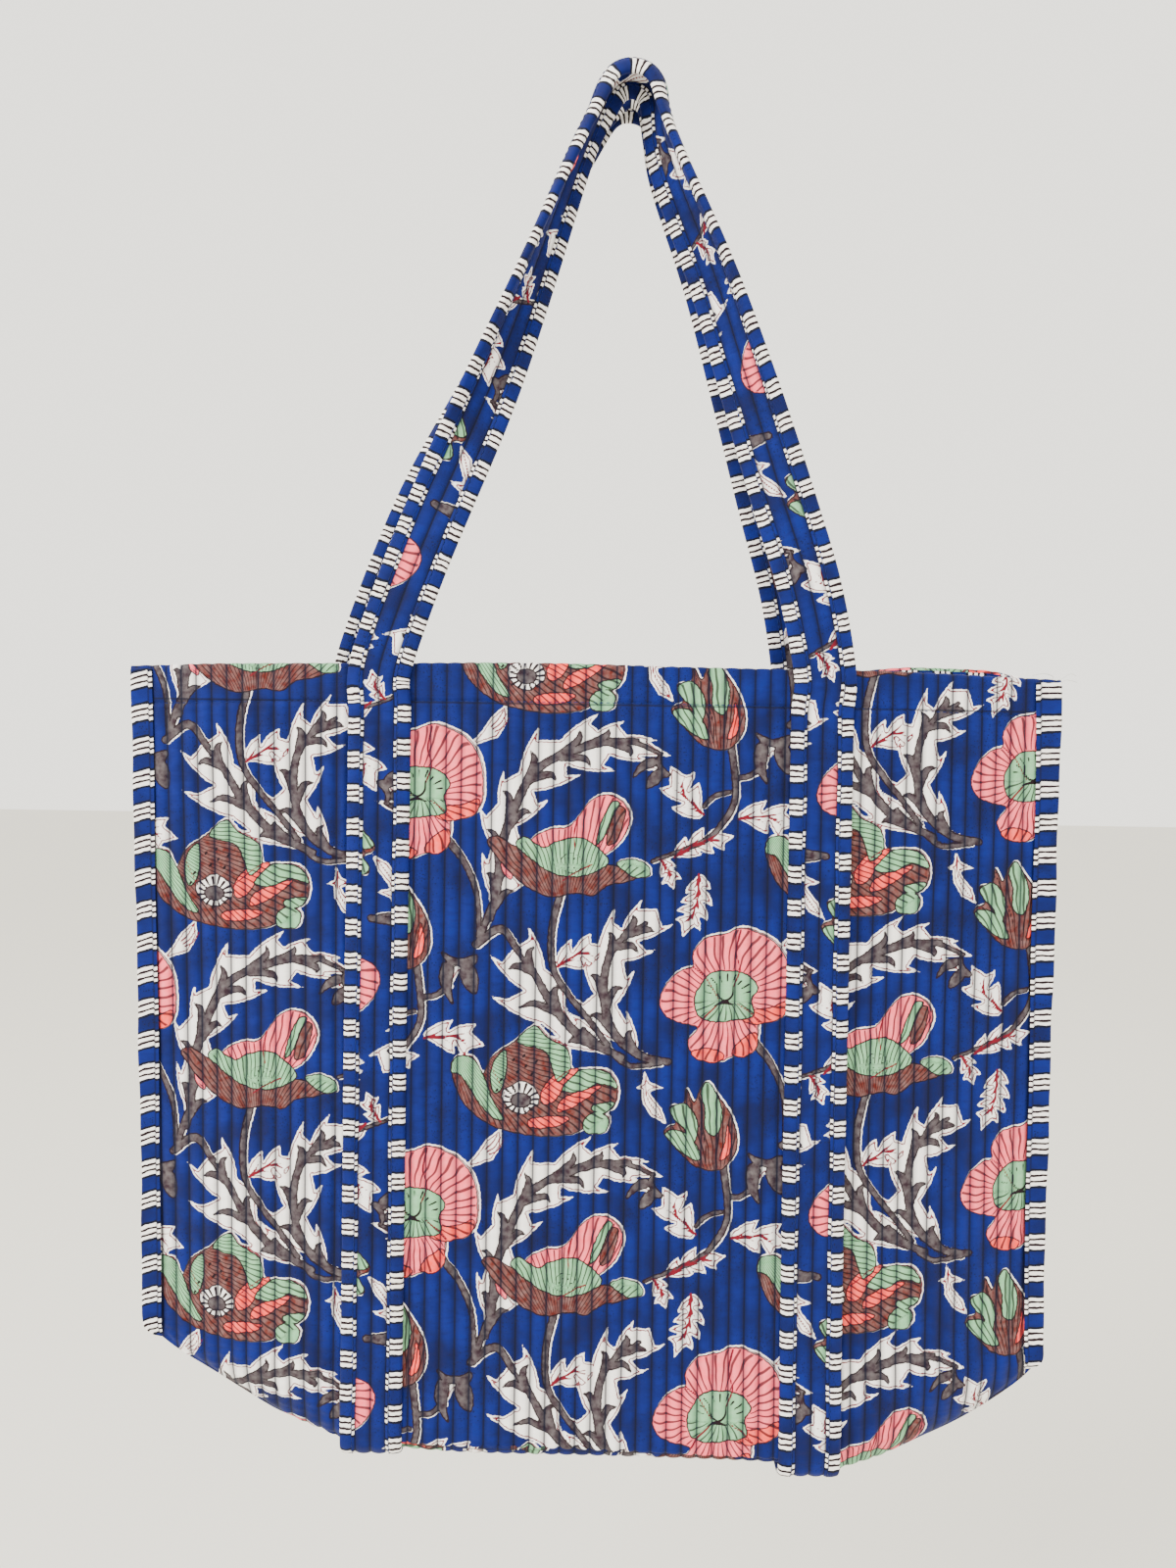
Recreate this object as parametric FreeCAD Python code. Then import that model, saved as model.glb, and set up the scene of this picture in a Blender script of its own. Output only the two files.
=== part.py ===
"""Quilted cotton tote for knitting work, hanging from one hook by its two long handles.

Frame: millimetres, +Z up, +X to the wearer's right, the front of the bag faces -Y.
The origin is the point where the handles rest on the hook, under their apex.
"""
import FreeCAD, Part
import os
from math import cos, sin, radians

Vec = FreeCAD.Vector

# ---- driving dimensions -------------------------------------------------------
BAG_X = -10.0            # middle of the bag, left of the hook by the lean of the handles
MOUTH_Z = -279.0
HEM_DEPTH = 17.0         # striped tape turned inside the mouth
SEAM_END_Z = -625.0      # the side seams stop here and the boxed corners start
WALL_END_Z = -670.2
MOUTH_HALF = 227.8
SEAM_END_HALF = 226.2
BASE_HALF = 133.0
SEAM_ALLOWANCE = 9.0
CORNER_ALLOWANCE = 2.5
SEAM_GAP = 0.15          # half the gap between front and back where they are sewn

COVER = 0.5              # printed cotton
WADDING = 1.6
LINING = 0.5
PLY_GAP = 0.05

SIDE_BINDING_WIDTH = 8.2
BINDING = 0.55           # folded striped tape

STRAP_X = 107.7          # strap centre from the middle of the bag
BACK_STRAP_SHIFT = -9.0
STRAP_WIDTH = 30.0
STRAP_THICK = 2.1
STRAP_BINDING_WIDTH = 7.5
STRAP_CLEARANCE = 0.45
STRAP_STEP = 30.0        # between a sewn strap's sections on the flat of the wall
STRAP_STEP_LOW = 4.0     # and where the wall turns under
HANDLE_GAP = 0.3         # between a sewn strap and its handle, at the swing axis

APEX_RADIUS = 12.0
APEX_TOP = 9.0
SWING_AXIS_OUT = 0.9     # the swing axis lies this far in front of the strap

PANEL = COVER + WADDING + LINING + 2 * PLY_GAP
HEM_Z = MOUTH_Z - HEM_DEPTH

# height, half width, width sewn flat at each side, depth of the bulge at the middle and
# how square the bulge is (2 is a shallow arch, more is boxier)
LEVELS = [
    (MOUTH_Z, MOUTH_HALF, SEAM_ALLOWANCE, 12.0, 2.0),
    (-400.0, MOUTH_HALF - 0.5, SEAM_ALLOWANCE, 16.0, 2.1),
    (-520.0, MOUTH_HALF - 1.1, SEAM_ALLOWANCE, 20.0, 2.3),
    (SEAM_END_Z, SEAM_END_HALF, SEAM_ALLOWANCE, 24.5, 2.8),
    (-648.0, 184.0, CORNER_ALLOWANCE, 26.5, 3.6),
    (WALL_END_Z, BASE_HALF, CORNER_ALLOWANCE, 27.0, 5.0),
]
CURVE_SPANS = 16         # spans of the curve across one panel

# handle leg, from the hem to the apex: x, z, turn of the strap, half width, half thickness
LEFT_LEG = [
    (None, None, -3.1, 15.0, 1.05),
    (-117.5, MOUTH_Z, -2.0, 15.0, 1.05),
    (-104.0, -238.0, 0.0, 15.0, 1.05),
    (-87.0, -195.0, 4.0, 15.0, 1.05),
    (-66.0, -145.0, 30.0, 14.2, 1.3),
    (-43.5, -90.0, 55.0, 12.2, 1.8),
    (-22.0, -38.0, 72.0, 9.6, 2.5),
]
RIGHT_LEG = [
    (None, None, -3.1, 15.0, 1.05),
    (97.5, MOUTH_Z, -2.0, 15.0, 1.05),
    (87.5, -238.0, 6.0, 15.0, 1.05),
    (74.5, -195.0, 16.0, 15.0, 1.05),
    (57.5, -145.0, 31.0, 14.4, 1.3),
    (38.5, -90.0, 48.0, 12.6, 1.8),
    (20.5, -38.0, 66.0, 9.8, 2.5),
]
APEX_HALF_WIDTH = 9.5
APEX_HALF_THICK = 3.0
APEX_DEPTH = 12.0        # middle of each handle from the hook's centre line, at the apex
LEG_ANGLES = (156.0, 19.0)
APEX_STEPS = 7


# ---- the shape of a panel -------------------------------------------------------
def level_at(z):
    """Half width, seam allowance, bulge and squareness at height z, between the levels."""
    if z >= LEVELS[0][0]:
        return LEVELS[0][1:]
    for upper, lower in zip(LEVELS, LEVELS[1:]):
        if z >= lower[0]:
            t = (upper[0] - z) / (upper[0] - lower[0])
            return tuple(u + (v - u) * t for u, v in zip(upper[1:], lower[1:]))
    return LEVELS[-1][1:]


def arch(share, depth, square):
    """Depth of the inner face at a share of the way from the middle to the seam."""
    return SEAM_GAP + (depth - SEAM_GAP) * (1 - min(abs(share), 1.0) ** square)


def bulge(x, z):
    """Depth of the panel's inner face at x from the middle of the bag.

    The walls are ruled between the levels, so the arches above and below are mixed.
    """
    half, allowance = level_at(z)[:2]
    share = x / (half - allowance)
    if z >= LEVELS[0][0]:
        return arch(share, *LEVELS[0][3:])
    for upper, lower in zip(LEVELS, LEVELS[1:]):
        if z >= lower[0]:
            t = (upper[0] - z) / (upper[0] - lower[0])
            return arch(share, *upper[3:]) * (1 - t) + arch(share, *lower[3:]) * t
    return arch(share, *LEVELS[-1][3:])


def heights(top, bottom):
    """The panel's own levels that lie between two heights, with both ends."""
    middle = [level[0] for level in LEVELS if bottom < level[0] < top]
    return [top] + middle + [bottom]


def strap_heights(top, bottom):
    """Heights of a sewn strap's sections, closer together where the wall turns under."""
    steps = []
    z = top
    while z > bottom + STRAP_STEP_LOW:
        steps.append(z)
        z -= STRAP_STEP if z > SEAM_END_Z + STRAP_STEP else STRAP_STEP_LOW
    return steps + [bottom]


def point(side, x, z, offset):
    """A point at an offset outside the lining's inner face; side is -1 front, 1 back."""
    return Vec(BAG_X + x, side * (bulge(x, z) + offset), z)


def bulge_curve(side, z, offset, reach):
    """The smooth curve across a panel from -reach to reach."""
    shares = [2 * i / CURVE_SPANS - 1 for i in range(CURVE_SPANS + 1)]
    curve = Part.BSplineCurve()
    points = [point(side, reach * share, z, offset) for share in shares]
    curve.interpolate(Points=points, Parameters=[share + 1 for share in shares])
    return curve.toShape()


def layer_wire(side, z, inner, outer, inset):
    """Outline of one ply at height z; inset leaves the seam allowance out."""
    half, allowance = level_at(z)[:2]
    reach = half - allowance - (inset or 0.0)
    edges = []
    for offset, way in ((inner, 1), (outer, -1)):
        ends = point(side, -reach * way, z, offset), point(side, reach * way, z, offset)
        arc = bulge_curve(side, z, offset, reach * way)
        if inset is None:
            edges.append(Part.makeLine(point(side, -half * way, z, offset), ends[0]))
            edges.append(arc)
            edges.append(Part.makeLine(ends[1], point(side, half * way, z, offset)))
        else:
            edges.append(arc)
        corner = reach if inset is not None else half
        other = outer if way == 1 else inner
        edges.append(Part.makeLine(point(side, corner * way, z, offset),
                                   point(side, corner * way, z, other)))
    return Part.Wire(edges)


def panel_layer(side, top, bottom, inner, outer, inset=None):
    wires = [layer_wire(side, z, inner, outer, inset) for z in heights(top, bottom)]
    return Part.makeLoft(wires, True, True)


def ruled(outlines):
    """A solid through closed outlines with the same number of corners."""
    return Part.makeLoft([Part.makePolygon(list(o) + [o[0]]) for o in outlines], True, True)


# ---- the bag's pieces -------------------------------------------------------------
def panel_plies(side):
    wadding_in = LINING + PLY_GAP
    wadding_out = wadding_in + WADDING
    return {
        "lining": panel_layer(side, MOUTH_Z, WALL_END_Z, 0.0, LINING),
        "wadding": panel_layer(side, MOUTH_Z, WALL_END_Z, wadding_in, wadding_out),
        "cover": panel_layer(side, MOUTH_Z, WALL_END_Z, wadding_out + PLY_GAP, PANEL),
    }


def hem_facing(side):
    """Striped tape sewn round the inside of the mouth."""
    return panel_layer(side, MOUTH_Z, HEM_Z, -PLY_GAP - BINDING, -PLY_GAP, inset=12.0)


def base_plies():
    """The flat base under the walls, a long oval in three plies."""
    thickness = {"lining": LINING, "wadding": WADDING, "cover": COVER}
    half, allowance = level_at(WALL_END_Z)[:2]
    reach = half - allowance
    edges = []
    for side in (-1, 1):
        way = -side
        edges.append(bulge_curve(side, WALL_END_Z, PANEL, reach * way))
        corner = point(side, reach * way, WALL_END_Z, PANEL)
        tip = Vec(BAG_X + half * way, corner.y, WALL_END_Z)
        edges.append(Part.makeLine(corner, tip))
        edges.append(Part.makeLine(tip, Vec(tip.x, -tip.y, tip.z)))
        edges.append(Part.makeLine(Vec(tip.x, -tip.y, tip.z), Vec(corner.x, -corner.y, tip.z)))
    outline = Part.Wire(edges)
    plies = {}
    top = WALL_END_Z - PLY_GAP
    for name, thick in thickness.items():
        face = Part.Face(outline)
        face.translate(Vec(0, 0, top - WALL_END_Z))
        plies[name] = face.extrude(Vec(0, 0, -thick))
        top -= thick + PLY_GAP
    return plies


def side_binding(hand):
    """Striped tape folded over the raw edges of one side seam; hand is -1 or 1."""
    outlines = []
    for z in (MOUTH_Z, SEAM_END_Z):
        half = level_at(z)[0] + PLY_GAP
        thick = SEAM_GAP + PANEL + PLY_GAP
        corners = [
            (half - SIDE_BINDING_WIDTH, -thick), (half, -thick), (half, thick),
            (half - SIDE_BINDING_WIDTH, thick), (half - SIDE_BINDING_WIDTH, thick + BINDING),
            (half + BINDING, thick + BINDING), (half + BINDING, -thick - BINDING),
            (half - SIDE_BINDING_WIDTH, -thick - BINDING),
        ]
        outlines.append([Vec(BAG_X + hand * x, y, z) for x, y in corners])
    return ruled(outlines)


# ---- strap sections: u runs from the outer edge to the inner one, v outwards ----------
def core_section(half, thick):
    across = [half * share for share in (-1.0, -0.5, 0.0, 0.5, 1.0)]
    return [(u, -thick) for u in across] + [(u, thick) for u in across[::-1]]


def channel_section(half, thick, edge):
    """Tape folded over one edge of the strap; edge is -1 for the outer, 1 for the inner."""
    reach = half - STRAP_BINDING_WIDTH * half / (STRAP_WIDTH / 2)
    near = thick + PLY_GAP
    far = near + BINDING
    tip = half + PLY_GAP
    return [(edge * u, v) for u, v in (
        (reach, near), (tip, near), (tip, -near), (reach, -near),
        (reach, -far), (tip + BINDING, -far), (tip + BINDING, far), (reach, far))]


def strap_sections(half, thick):
    core_half = half - BINDING - PLY_GAP
    return {
        "strap": core_section(core_half, thick),
        "outer_binding": channel_section(core_half, thick, -1),
        "inner_binding": channel_section(core_half, thick, 1),
    }


def strap_centre(side, hand):
    shift = BACK_STRAP_SHIFT if side > 0 else 0.0
    return hand * STRAP_X + shift


STRAP_HALF_THICK = STRAP_THICK / 2
STRAP_STAND = PANEL + STRAP_CLEARANCE + BINDING + PLY_GAP + STRAP_HALF_THICK


def sewn_strap(side, hand):
    """One strap, sewn on the panel from the base up to the hem, with its two bindings."""
    centre = strap_centre(side, hand)
    pieces = {}
    for name, section in strap_sections(STRAP_WIDTH / 2, STRAP_HALF_THICK).items():
        outlines = []
        for z in strap_heights(HEM_Z - HANDLE_GAP, WALL_END_Z):
            outlines.append([
                point(side, centre - hand * u, z, STRAP_STAND + v) for u, v in section
            ])
        pieces[name] = ruled(outlines)
    return pieces


# ---- handles --------------------------------------------------------------------------
def leg_stations(side, leg, hand):
    """Centre, turn and size of the sections up one leg, from the hem to the apex."""
    stations = []
    start_x = strap_centre(side, hand)
    start_y = side * (bulge(start_x, HEM_Z) + STRAP_STAND)
    shift = BACK_STRAP_SHIFT if side > 0 else 0.0
    for x, z, turn, half, thick in leg:
        if x is None:
            stations.append((Vec(BAG_X + start_x, start_y, HEM_Z), turn, half, thick))
            continue
        rise = (z - HEM_Z) / (0.0 - HEM_Z)
        y = start_y + (side * APEX_DEPTH - start_y) * rise
        stations.append((Vec(x + shift * (1 - rise), y, z), turn, half, thick))
    return stations


def handle_stations(side):
    left = leg_stations(side, LEFT_LEG, -1)
    right = leg_stations(side, RIGHT_LEG, 1)
    apex = []
    centre_z = APEX_TOP - APEX_HALF_THICK - BINDING - APEX_RADIUS
    for step in range(APEX_STEPS):
        share = step / (APEX_STEPS - 1)
        angle = radians(LEG_ANGLES[0] + (LEG_ANGLES[1] - LEG_ANGLES[0]) * share)
        spot = Vec(APEX_RADIUS * cos(angle), side * APEX_DEPTH, centre_z + APEX_RADIUS * sin(angle))
        turn = 90.0 - 10.0 * abs(2 * share - 1)
        apex.append((spot, turn, APEX_HALF_WIDTH, APEX_HALF_THICK))
    return left + apex + right[::-1]


def station_frames(side):
    """Each station's centre with its across and outward directions."""
    stations = handle_stations(side)
    frames = []
    for i, (spot, turn, half, thick) in enumerate(stations):
        before = stations[max(i - 1, 0)][0]
        after = stations[min(i + 1, len(stations) - 1)][0]
        along = after - before
        along.y = 0.0
        along.normalize()
        if i in (0, len(stations) - 1):
            along = Vec(0, 0, 1 if i == 0 else -1)
        inward = Vec(along.z, 0, -along.x)
        turn = radians(turn)
        across = inward * cos(turn) + Vec(0, -side, 0) * sin(turn)
        outward = Vec(0, side, 0) * cos(turn) + inward * sin(turn)
        frames.append((spot, across, outward, half, thick))
    return frames


def handle(side):
    """One long handle over the hook: the strap and the tape along each of its edges."""
    frames = station_frames(side)
    pieces = {}
    for name in strap_sections(1.0, 1.0):
        outlines = []
        for spot, across, outward, half, thick in frames:
            section = strap_sections(half, thick)[name]
            outlines.append([spot + across * u + outward * v for u, v in section])
        pieces[name] = ruled(outlines)
    return pieces


# ---- assembly ---------------------------------------------------------------------------
def build():
    nodes = {}
    for side_name, side in (("front", -1), ("back", 1)):
        for ply, shape in panel_plies(side).items():
            nodes[f"{side_name}_{ply}"] = shape
        nodes[f"{side_name}_hem_facing"] = hem_facing(side)
        for hand_name, hand in (("left", -1), ("right", 1)):
            for piece, shape in sewn_strap(side, hand).items():
                nodes[f"{side_name}_{hand_name}_{piece}"] = shape
        for piece, shape in handle(side).items():
            nodes[f"{side_name}_handle_{piece}"] = shape
    for ply, shape in base_plies().items():
        nodes[f"base_{ply}"] = shape
    for hand_name, hand in (("left", -1), ("right", 1)):
        nodes[f"{hand_name}_side_binding"] = side_binding(hand)
    return nodes


def swing_axis(side):
    """Depth and height of the axis about which a handle swings, outside the straps."""
    innermost = STRAP_X - STRAP_WIDTH / 2 + BACK_STRAP_SHIFT
    out = bulge(innermost, HEM_Z) + STRAP_STAND + STRAP_HALF_THICK + BINDING + SWING_AXIS_OUT
    return side * out, HEM_Z - HANDLE_GAP / 2


os.makedirs("parts", exist_ok=True)
for node, shape in build().items():
    shape.exportStep(f"parts/{node}.step")
    print(node, shape.isValid(), len(shape.Solids), round(shape.Volume), shape.BoundBox)
print("swing axes, y and z:", swing_axis(-1), swing_axis(1))
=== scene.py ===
"""Looks of a quilted, block-printed cotton tote that hangs by its two handles.

Metres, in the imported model's frame: +Z up, the front faces -Y, the origin is the hook point.
Print motifs are drawn in millimetres on the flat cloth and kept as distance fields on the mesh.
"""
import bpy
import math
import numpy as np
from mathutils import Matrix, Vector


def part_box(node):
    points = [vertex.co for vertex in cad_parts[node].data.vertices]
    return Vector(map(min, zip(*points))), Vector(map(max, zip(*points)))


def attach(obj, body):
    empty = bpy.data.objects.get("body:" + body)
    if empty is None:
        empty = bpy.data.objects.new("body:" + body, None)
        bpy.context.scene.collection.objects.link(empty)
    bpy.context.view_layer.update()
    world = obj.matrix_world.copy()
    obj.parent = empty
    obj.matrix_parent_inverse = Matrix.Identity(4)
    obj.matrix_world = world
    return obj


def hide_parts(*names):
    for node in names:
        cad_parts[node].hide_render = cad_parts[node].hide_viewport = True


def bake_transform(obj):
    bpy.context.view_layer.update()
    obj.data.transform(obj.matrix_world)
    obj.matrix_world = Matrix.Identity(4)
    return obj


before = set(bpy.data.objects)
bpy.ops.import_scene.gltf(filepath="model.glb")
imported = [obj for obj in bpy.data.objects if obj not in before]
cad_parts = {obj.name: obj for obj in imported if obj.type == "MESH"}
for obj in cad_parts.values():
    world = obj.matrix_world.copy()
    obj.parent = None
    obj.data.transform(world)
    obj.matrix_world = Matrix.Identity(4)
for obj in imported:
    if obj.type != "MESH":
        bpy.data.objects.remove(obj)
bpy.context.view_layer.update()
MM = 0.001

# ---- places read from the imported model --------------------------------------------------
COVER_LOW, COVER_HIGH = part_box("front_cover")
BAG_X = (COVER_LOW.x + COVER_HIGH.x) / 2
MOUTH_HALF = (COVER_HIGH.x - COVER_LOW.x) / 2
MOUTH_Z = COVER_HIGH.z
SEAM_END_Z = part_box("left_side_binding")[0].z
HEM_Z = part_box("front_hem_facing")[0].z
BASE_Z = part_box("base_cover")[0].z
BASE_HALF = (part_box("base_cover")[1].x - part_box("base_cover")[0].x) / 2
STRAP_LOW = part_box("front_left_outer_binding")[0]
STRAP_OUTER_X = BAG_X - STRAP_LOW.x
STRAP_HALF = (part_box("front_left_inner_binding")[1].x - STRAP_LOW.x) / 2
STRAP_X = STRAP_OUTER_X - STRAP_HALF
SIDE_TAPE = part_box("left_side_binding")[1].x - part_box("left_side_binding")[0].x
# how much of each side tape shows, at its foot and at the mouth
TAPE_SHOWN = {-1: (0.92 * SIDE_TAPE, 1.05 * SIDE_TAPE), 1: (0.95 * SIDE_TAPE, 1.24 * SIDE_TAPE)}
SIDE_WORD = {-1: "front", 1: "back"}

# ---- cloth sizes ------------------------------------------------------------------------
PANEL = 2.7 * MM          # thickness of the three plies
SEAM_GAP = 0.15 * MM
CHANNEL = 7.5 * MM        # width of one quilted channel
PILLOW = 1.3 * MM         # how far a channel stands up between two stitch lines
SEAM_ALLOWANCE = 9.0 * MM
BASE_WRAP = 5.5 * MM      # the base panel turns up this far to its seam
HEM_DEPTH = MOUTH_Z - HEM_Z
STRAP_THICK = 3.0 * MM
STRAP_WIDTH = 30.0 * MM
TAPE_WIDTH = 7.5 * MM
TAPE_STAND = 0.45 * MM    # how far a tape stands off what it covers
STITCH_PITCH = 3.2 * MM
STITCH_SHARE = 0.72       # how much of the pitch one stitch takes up
STRIPE_PITCH = 16.3       # one group of bars on a tape to the next, mm
APEX_DEPTH = 13.2 * MM    # each handle's distance from the hook's middle, front or back
APEX_RADIUS = 11.5 * MM
APEX_MIDDLE_Z = -8.6 * MM
BACK_SHIFT = -10.0 * MM    # the back straps stand this far to one side of the front ones
BACK_SPREAD = 3.0 * MM     # and this much further apart
STRAP_STEP = 1.2 * MM      # from one row of a strap's mesh to the next

# the bottom line of the bag: signed distance from its middle and height above the base, mm
BASE_LIFT = 8.0 * MM      # the soft base hangs this much higher than its seams allow
BOTTOM_LINE = [(-240, 90), (-229, 66), (-226, 55), (-221, 49), (-214, 43), (-206, 37.5), (-191, 28.5),
               (-175, 18.5), (-159, 9), (-144, 3.6), (-128, 1.8), (-105, 1.4), (-60, 0), (0, -0.5),
               (47, -1.3), (76, -2.2), (91, -3.4), (106, -5.5), (121, -8.5), (137, -10.3), (153, -7.2),
               (168, 0), (184, 8), (199, 17.2), (214, 28), (222, 35.5), (226.5, 42), (229, 54), (240, 80)]
SEAM_ENDS = {-1: SEAM_END_Z + 7.0 * MM, 1: SEAM_END_Z - 2.5 * MM}
# height above the base, mm, with the bulge's depth there, mm, and its squareness
BULGE = [(-12, 22, 5.0), (6, 22, 5.0), (20, 21.5, 3.9), (45, 20.5, 2.8), (150, 18, 2.3), (270, 15, 2.1),
         (388, 12, 2.0)]
# a handle's middle line up each leg: x, z, turn in degrees, half of its width across, mm
LEFT_LEG = [(-117.5, -279, -2, 15), (-104, -238, 0, 15), (-87, -195, 4, 15), (-66, -145, 30, 14.3),
            (-45, -90, 58, 13.4), (-25.7, -38, 80, 12.9), (-17.2, -18.5, 85, 12.7)]
RIGHT_LEG = [(98.5, -279, -2, 15), (90, -238, 6, 15), (76, -195, 16, 15), (59.5, -145, 31, 14.5),
             (40.5, -90, 47, 13.6), (19.5, -40, 62, 13.1), (13.2, -20, 74, 12.8)]


# ---- small helpers ----------------------------------------------------------------------
def smoothstep(value, low, high):
    t = np.clip((value - low) / (high - low), 0, 1)
    return t * t * (3 - 2 * t)


def spline(points, per_span, closed=False):
    """Points along a smooth curve through the given ones (Catmull-Rom)."""
    p = np.array(points, float)
    if closed:
        p = np.vstack([p[-1], p, p[0], p[1]])
    else:
        p = np.vstack([2 * p[0] - p[1], p, 2 * p[-1] - p[-2]])
    t = np.linspace(0, 1, per_span, endpoint=False)[:, None]
    out = []
    for a, b, c, d in zip(p, p[1:], p[2:], p[3:]):
        out.append(0.5 * (2 * b + (c - a) * t + (2 * a - 5 * b + 4 * c - d) * t ** 2
                          + (3 * b - a - 3 * c + d) * t ** 3))
    if not closed:
        out.append(p[-2][None, :])
    return np.vstack(out)


def running_length(line):
    """Length along a line of points, at each point."""
    return np.concatenate([[0], np.cumsum(np.linalg.norm(np.diff(line, axis=0), axis=1))])


def new_mesh(name, points, faces, fields=None):
    """A mesh object from arrays, with named float fields stored on its points."""
    mesh = bpy.data.meshes.new(name)
    faces = faces if isinstance(faces, list) else faces.tolist()
    mesh.from_pydata(np.asarray(points, float).tolist(), [], faces)
    for field, values in (fields or {}).items():
        values = np.asarray(values, np.float32)
        kind = "FLOAT" if values.ndim == 1 else "FLOAT_VECTOR"
        slot = "value" if values.ndim == 1 else "vector"
        mesh.attributes.new(field, kind, "POINT").data.foreach_set(slot, values.ravel())
    mesh.polygons.foreach_set("use_smooth", np.ones(len(mesh.polygons), bool))
    mesh.update()
    piece = bpy.data.objects.new(name, mesh)
    bpy.context.scene.collection.objects.link(piece)
    return piece


def grid_faces(rows, columns, wrap=False, flip=False):
    """Quads of a rows by columns grid of points; wrap joins the last column to the first."""
    r = np.arange(rows - 1)[:, None]
    c = np.arange(columns if wrap else columns - 1)[None, :]
    after = (c + 1) % columns
    quads = np.stack([r * columns + c, r * columns + after,
                      (r + 1) * columns + after, (r + 1) * columns + c], -1).reshape(-1, 4)
    return quads[:, ::-1] if flip else quads


# ---- the shape of the bag ---------------------------------------------------------------
FLOOR_LINE = BASE_Z + BASE_LIFT
BOTTOM_CURVE = spline(BOTTOM_LINE, 6) * MM
BULGE_TABLE = np.array(BULGE, float)
CORNERS = {-1: BOTTOM_CURVE[BOTTOM_CURVE[:, 0] < -0.140][::-1] * (-1, 1),
           1: BOTTOM_CURVE[BOTTOM_CURVE[:, 0] > 0.140]}


def bottom_rise(x):
    """Height of the bottom line above the level of the base, at x from the middle of the bag."""
    return np.interp(x, BOTTOM_CURVE[:, 0], BOTTOM_CURVE[:, 1])


def base_wrap(x):
    """How far above the bottom line the seam of the base panel lies."""
    return BASE_WRAP * (1 - smoothstep(np.abs(x), 0.090, 0.128))


def base_seam(x):
    """Height of the seam between a panel and the base, at x from the middle of the bag."""
    return FLOOR_LINE + bottom_rise(x) + base_wrap(x)


def seam_half(z):
    """Half the bag's width between its side seams, which lean in a little on the way down."""
    return MOUTH_HALF - 1.6 * MM * smoothstep(MOUTH_Z - z, 0, MOUTH_Z - SEAM_END_Z)


def edge(z, x):
    """Half the bag's width at a height, on x's side: the side seam, then the slanting corner."""
    height = z - FLOOR_LINE
    left = np.interp(height, CORNERS[-1][:, 1], CORNERS[-1][:, 0])
    right = np.interp(height, CORNERS[1][:, 1], CORNERS[1][:, 0])
    return np.minimum(np.where(np.asarray(x) < 0, left, right), seam_half(z))


def bulge(x, z):
    """Depth of the panel's inner face, at x from the middle of the bag."""
    height = (z - FLOOR_LINE) / MM
    depth = np.interp(height, BULGE_TABLE[:, 0], BULGE_TABLE[:, 1]) * MM
    square = np.interp(height, BULGE_TABLE[:, 0], BULGE_TABLE[:, 2])
    corner = smoothstep(SEAM_END_Z + 16 * MM - z, 0, 16 * MM)
    reach = edge(z, x) - SEAM_ALLOWANCE * (1 - corner) - 1.0 * MM * corner
    share = np.minimum(np.abs(x) / reach, 1)
    return SEAM_GAP + (depth - SEAM_GAP) * (1 - share ** square)


def lean(x, z):
    """Sideways set of the hanging cloth: one corner flares at the mouth, one foot swings out."""
    down = np.clip((MOUTH_Z - z) / (MOUTH_Z - SEAM_END_Z), 0, 1)
    flare = -5.0 * MM * (1 - down) ** 1.6 * smoothstep(-x, 0.06, MOUTH_HALF)
    foot = 3.0 * MM * down ** 1.3 * smoothstep(x, 0.03, MOUTH_HALF)
    return flare + foot - 1.0 * MM * down * smoothstep(-x, 0.0, MOUTH_HALF)


def slack(x, z, side):
    """Slow dents and swells of the hanging cloth; none at the seams."""
    free = smoothstep(edge(z, x) - np.abs(x), 0.008, 0.05)
    wave = np.sin(x * 31 + 1.3 * side + z * 9) * np.cos(z * 17 + x * 5 + side)
    fold = np.sin(x * 13 - z * 23 + 2 * side) * 0.7
    return free * (wave + fold) * 1.0 * MM


def under_strap(x, side):
    """1 where a sewn strap presses the panel flat, 0 elsewhere."""
    shift = BACK_SHIFT if side > 0 else 0.0
    near = np.minimum(np.abs(x - STRAP_X - shift), np.abs(x + STRAP_X - shift))
    return 1 - smoothstep(near, 0.0135, 0.0165)


def mouth_height(x, side):
    """The mouth line: lifted a little between the handles, drooping at the corners."""
    droop = smoothstep(np.abs(x), STRAP_X + 0.02, MOUTH_HALF)
    rise = 1.0 * MM * np.cos(x * 11) - 1.6 * MM * droop
    if side > 0:
        rise = rise + 3.6 * MM * smoothstep(x, 0.115, 0.16) * smoothstep(-x, -0.218, -0.19)
        rise = rise + 1.2 * MM * smoothstep(x, 0.055, 0.075) * smoothstep(-x, -0.105, -0.09)
    return MOUTH_Z + rise


def pillow(x):
    """Height of the quilted channels across the cloth, 0 on a stitch line and 1 between."""
    return np.abs(np.sin(math.pi * x / CHANNEL)) ** 0.7


def pucker(x, z, seed):
    """Small cross ridges in each channel, stronger low down and towards the left."""
    channel = np.floor(x / CHANNEL)
    start = np.sin(channel * 12.9898 + seed) * 43.0
    ridge = np.sin(z / (0.86 * MM) + start) + 0.6 * np.sin(z / (1.31 * MM) + 2.1 * start)
    low = smoothstep(-z, 0.33, 0.62) * smoothstep(-x, -0.05, 0.12)
    return ridge * (0.05 + 0.13 * low) * MM


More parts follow.
